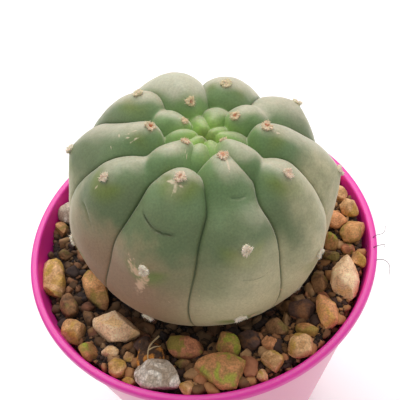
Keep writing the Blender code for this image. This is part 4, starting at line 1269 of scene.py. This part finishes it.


def scatter_tree():
    """Rough crumbs of random size and turn on top of the soil, away from wall, plant and pebbles."""
    tree, add, get = new_tree("scatter", Object="Soil Plant", Collection="Pebbles", Int="Rings Segments Seed",
                              Float="Gap Half Spread Clear Reach", Material="Rock")
    points = add("DistributePointsOnFaces POISSON", given_shape(add, get["Soil"]),
                 upward(add, CRUMB_FACES_UP), Distance_Min=get["Gap"], Density_Max=CRUMB_DENSITY,
                 Seed=get["Seed"]).outputs["Points"]
    here = add("InputPosition")
    x, y, z = add("SeparateXYZ", here).outputs
    from_axis = off_axis(add, x, y)
    pebbles = add("RealizeInstances", add("CollectionInfo", get["Pebbles"]))
    pebbles = add("Transform", pebbles, Scale=(1 / MM,) * 3)
    to_plant = add("Proximity FACES", given_shape(add, get["Plant"])).outputs["Distance"]
    to_pebble = add("Proximity FACES", pebbles).outputs["Distance"]
    bad = add("Math GREATER_THAN", from_axis, get["Reach"])
    for distance, least in ((to_plant, get["Half"]), (z, SOIL_TOP - GRIT_DEPTH), (to_pebble, get["Clear"]),
                            (from_axis, PLANT_FOOT)):
        bad = add("Math ADD", bad, add("Math LESS_THAN", distance, least))
    kept = add("DeleteGeometry", points, add("Compare", bad, 0.5))
    ball = add("MeshUVSphere", get["Segments"], get["Rings"], 1.0)
    share = add("RandomValue", Min=add("Math SUBTRACT", 1.0, get["Spread"]),
                Max=add("Math ADD", 1.0, get["Spread"]), Seed=get["Seed"])
    form = add("RandomValue FLOAT_VECTOR", *CRUMB_FORMS, Seed=2)
    scale = add("VectorMath SCALE", form, Scale=add("Math MULTIPLY", share, get["Half"]))
    turn = add("RandomValue FLOAT_VECTOR", *CRUMB_TURNS, Seed=4)
    placed = add("InstanceOnPoints", kept, Instance=ball, Rotation=turn, Scale=scale)
    tint = add("RandomValue", Min=0.0, Max=1.0, Seed=6)
    placed = add("StoreNamedAttribute INSTANCE", placed, None, "tint", tint)
    # Broken faces: each corner is knocked about by a noise about as wide as the crumb.
    finer = add("Math DIVIDE", CRUMB_LUMPS, get["Half"])
    height = add("Math MULTIPLY", get["Half"], CRUMB_LUMPINESS)
    lumps = lumpy_offset(add, height, Vector=here, Scale=finer, Detail=1.0)
    return end_tree(tree, add("SetPosition", add("RealizeInstances", placed), Offset=lumps), get["Rock"])


def scattered_material(name, kinds):
    """The same gravel in small pieces: each has its own tint out of a few kinds, with painted shade low down.
    """
    material, add, shader = start_material(name, Roughness=0.85)
    place = add("TexCoord").outputs["Object"]
    tint = add("Attribute", attribute_name="tint").outputs["Fac"]
    mottle = add("TexNoise", Vector=place, Scale=1 / (GRIT_MOTTLE * MM), Detail=3.0)
    tints = [add("Mix RGBA", mottle, linear(STONE_COLOURS[kind][1]), linear(STONE_COLOURS[kind][0]))
             for kind in kinds]
    colour = tints[0]
    for step in range(1, len(kinds)):
        chosen = add("Math GREATER_THAN", tint, step / len(kinds))
        colour = add("Mix RGBA", chosen, colour, tints[step])
    # Painted shade, deeper low down.
    foot = add("MapRange", add("SeparateXYZ", place).outputs["Z"], *GRIT_PAINTED_SHADE)
    fill(shader, Base_Color=add("Mix RGBA MULTIPLY", 1.0, colour, foot))
    return material


laid = bpy.data.collections.new("laid_gravel")
for piece in (*laid_stones, bark):
    laid.objects.link(piece)
scatter = scatter_tree()
for seed, (name, (gap, half, spread, clear, (rings, segments), kinds)) in enumerate(SCATTERS.items()):
    grains = grow(name, scatter, Soil=soil, Plant=plant, Pebbles=laid, Gap=gap, Half=half, Spread=spread,
                  Clear=clear, Rings=rings, Segments=segments, Seed=seed,
                  Reach=inner_wall_radius(SOIL_TOP + HEAP) - WALL_CLEARANCE * half,
                  Rock=scattered_material(name, kinds))
    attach(grains, "root")
bpy.data.collections.remove(laid)


# ---------------------------------------------------------------- floor, light and camera
# A plain pale floor that runs on behind the pot, large soft lamps behind and beside it, and the camera.

FLOOR_SIZE = 6.0  # metres
ROOM_LIGHT = 0.5  # strength of the even light from all round
FLOOR_WHITE = 0.9
FLOOR_GLOW = 0.25  # what the floor adds for the eye alone, so that it shows white where no shadow lies
WHITE = "FFFFFF"
# Lamps: where each stands and what it looks at, in metres, its width in metres and its watts.
LAMPS = {
    "back_light": ((-0.05, 0.45, 0.66), (0, 0, 0.08), 0.6, 4.2),
    "side_light": ((0.6, 0.05, 0.4), (0, 0, 0.06), 0.6, 0.8),
}
CAMERA_PLACE = (0, -127.8, POT_HEIGHT + 175.9)
CAMERA_YAW = 0.56
CAMERA_PITCH = 51.43  # looking down
CAMERA_ROLL = -9.02
SENSOR_WIDTH = 36
FOCAL_LENGTH = 84.7
NEAREST_SEEN = 10.0


def seen_directly(add):
    """1 for what the camera sees, also through glass or in a shine, and 0 for what lights the object."""
    path = add("LightPath").outputs
    shine = add("Math MAXIMUM", path["Is Glossy Ray"], path["Is Transmission Ray"])
    return add("Math MAXIMUM", path["Is Camera Ray"], shine)


def make_floor():
    mesh = bpy.data.meshes.new("floor")
    half = FLOOR_SIZE / 2
    corners = [(-half, -half, 0), (half, -half, 0), (half, half, 0), (-half, half, 0)]
    mesh.from_pydata(corners, [], [(0, 1, 2, 3)])
    material, add, shader = start_material(
        "matt_white_floor", Roughness=1.0, Specular_IOR_Level=0.0, Base_Color=(FLOOR_WHITE,) * 3 + (1.0,),
        Emission_Color=linear(WHITE))
    fill(shader, Emission_Strength=add("Math MULTIPLY", seen_directly(add), FLOOR_GLOW))
    floor = show("floor", mesh, material)


def make_world():
    world = bpy.data.worlds.new("studio")
    bpy.context.scene.world = world
    world.use_nodes = True
    add = partial(add_node, world.node_tree)
    strength = add("Mix", seen_directly(add), ROOM_LIGHT, 1.0)
    fill(world.node_tree.nodes["Background"], Color=linear(WHITE), Strength=strength)


def make_lamp(name, place, target, size, watts):
    light = bpy.data.lights.new(name, "AREA")
    light.energy = watts
    light.size = size
    lamp = show(name, light)
    lamp.location = place
    lamp.rotation_euler = (Vector(target) - Vector(place)).to_track_quat("-Z", "Y").to_euler()


def make_camera():
    """Camera above and in front of the pot, its picture turned a little."""
    yaw, pitch, roll = (math.radians(angle) for angle in (CAMERA_YAW, CAMERA_PITCH, CAMERA_ROLL))
    forward = Vector((math.sin(yaw) * math.cos(pitch), math.cos(yaw) * math.cos(pitch), -math.sin(pitch)))
    level = Vector((math.cos(yaw), -math.sin(yaw), 0))
    upright = level.cross(forward)
    right = level * math.cos(roll) + upright * math.sin(roll)
    up = upright * math.cos(roll) - level * math.sin(roll)
    data = bpy.data.cameras.new("camera")
    data.sensor_width = SENSOR_WIDTH
    data.lens = FOCAL_LENGTH
    data.clip_start = NEAREST_SEEN * MM
    camera = show("camera", data)
    turn = Matrix((right, up, -forward)).transposed().to_4x4()
    camera.matrix_world = Matrix.Translation(Vector(CAMERA_PLACE) * MM) @ turn
    bpy.context.scene.camera = camera


make_floor()
make_world()
for name, (place, target, size, watts) in LAMPS.items():
    make_lamp(name, place, target, size, watts)
make_camera()
bpy.context.scene.view_settings.view_transform = "Standard"
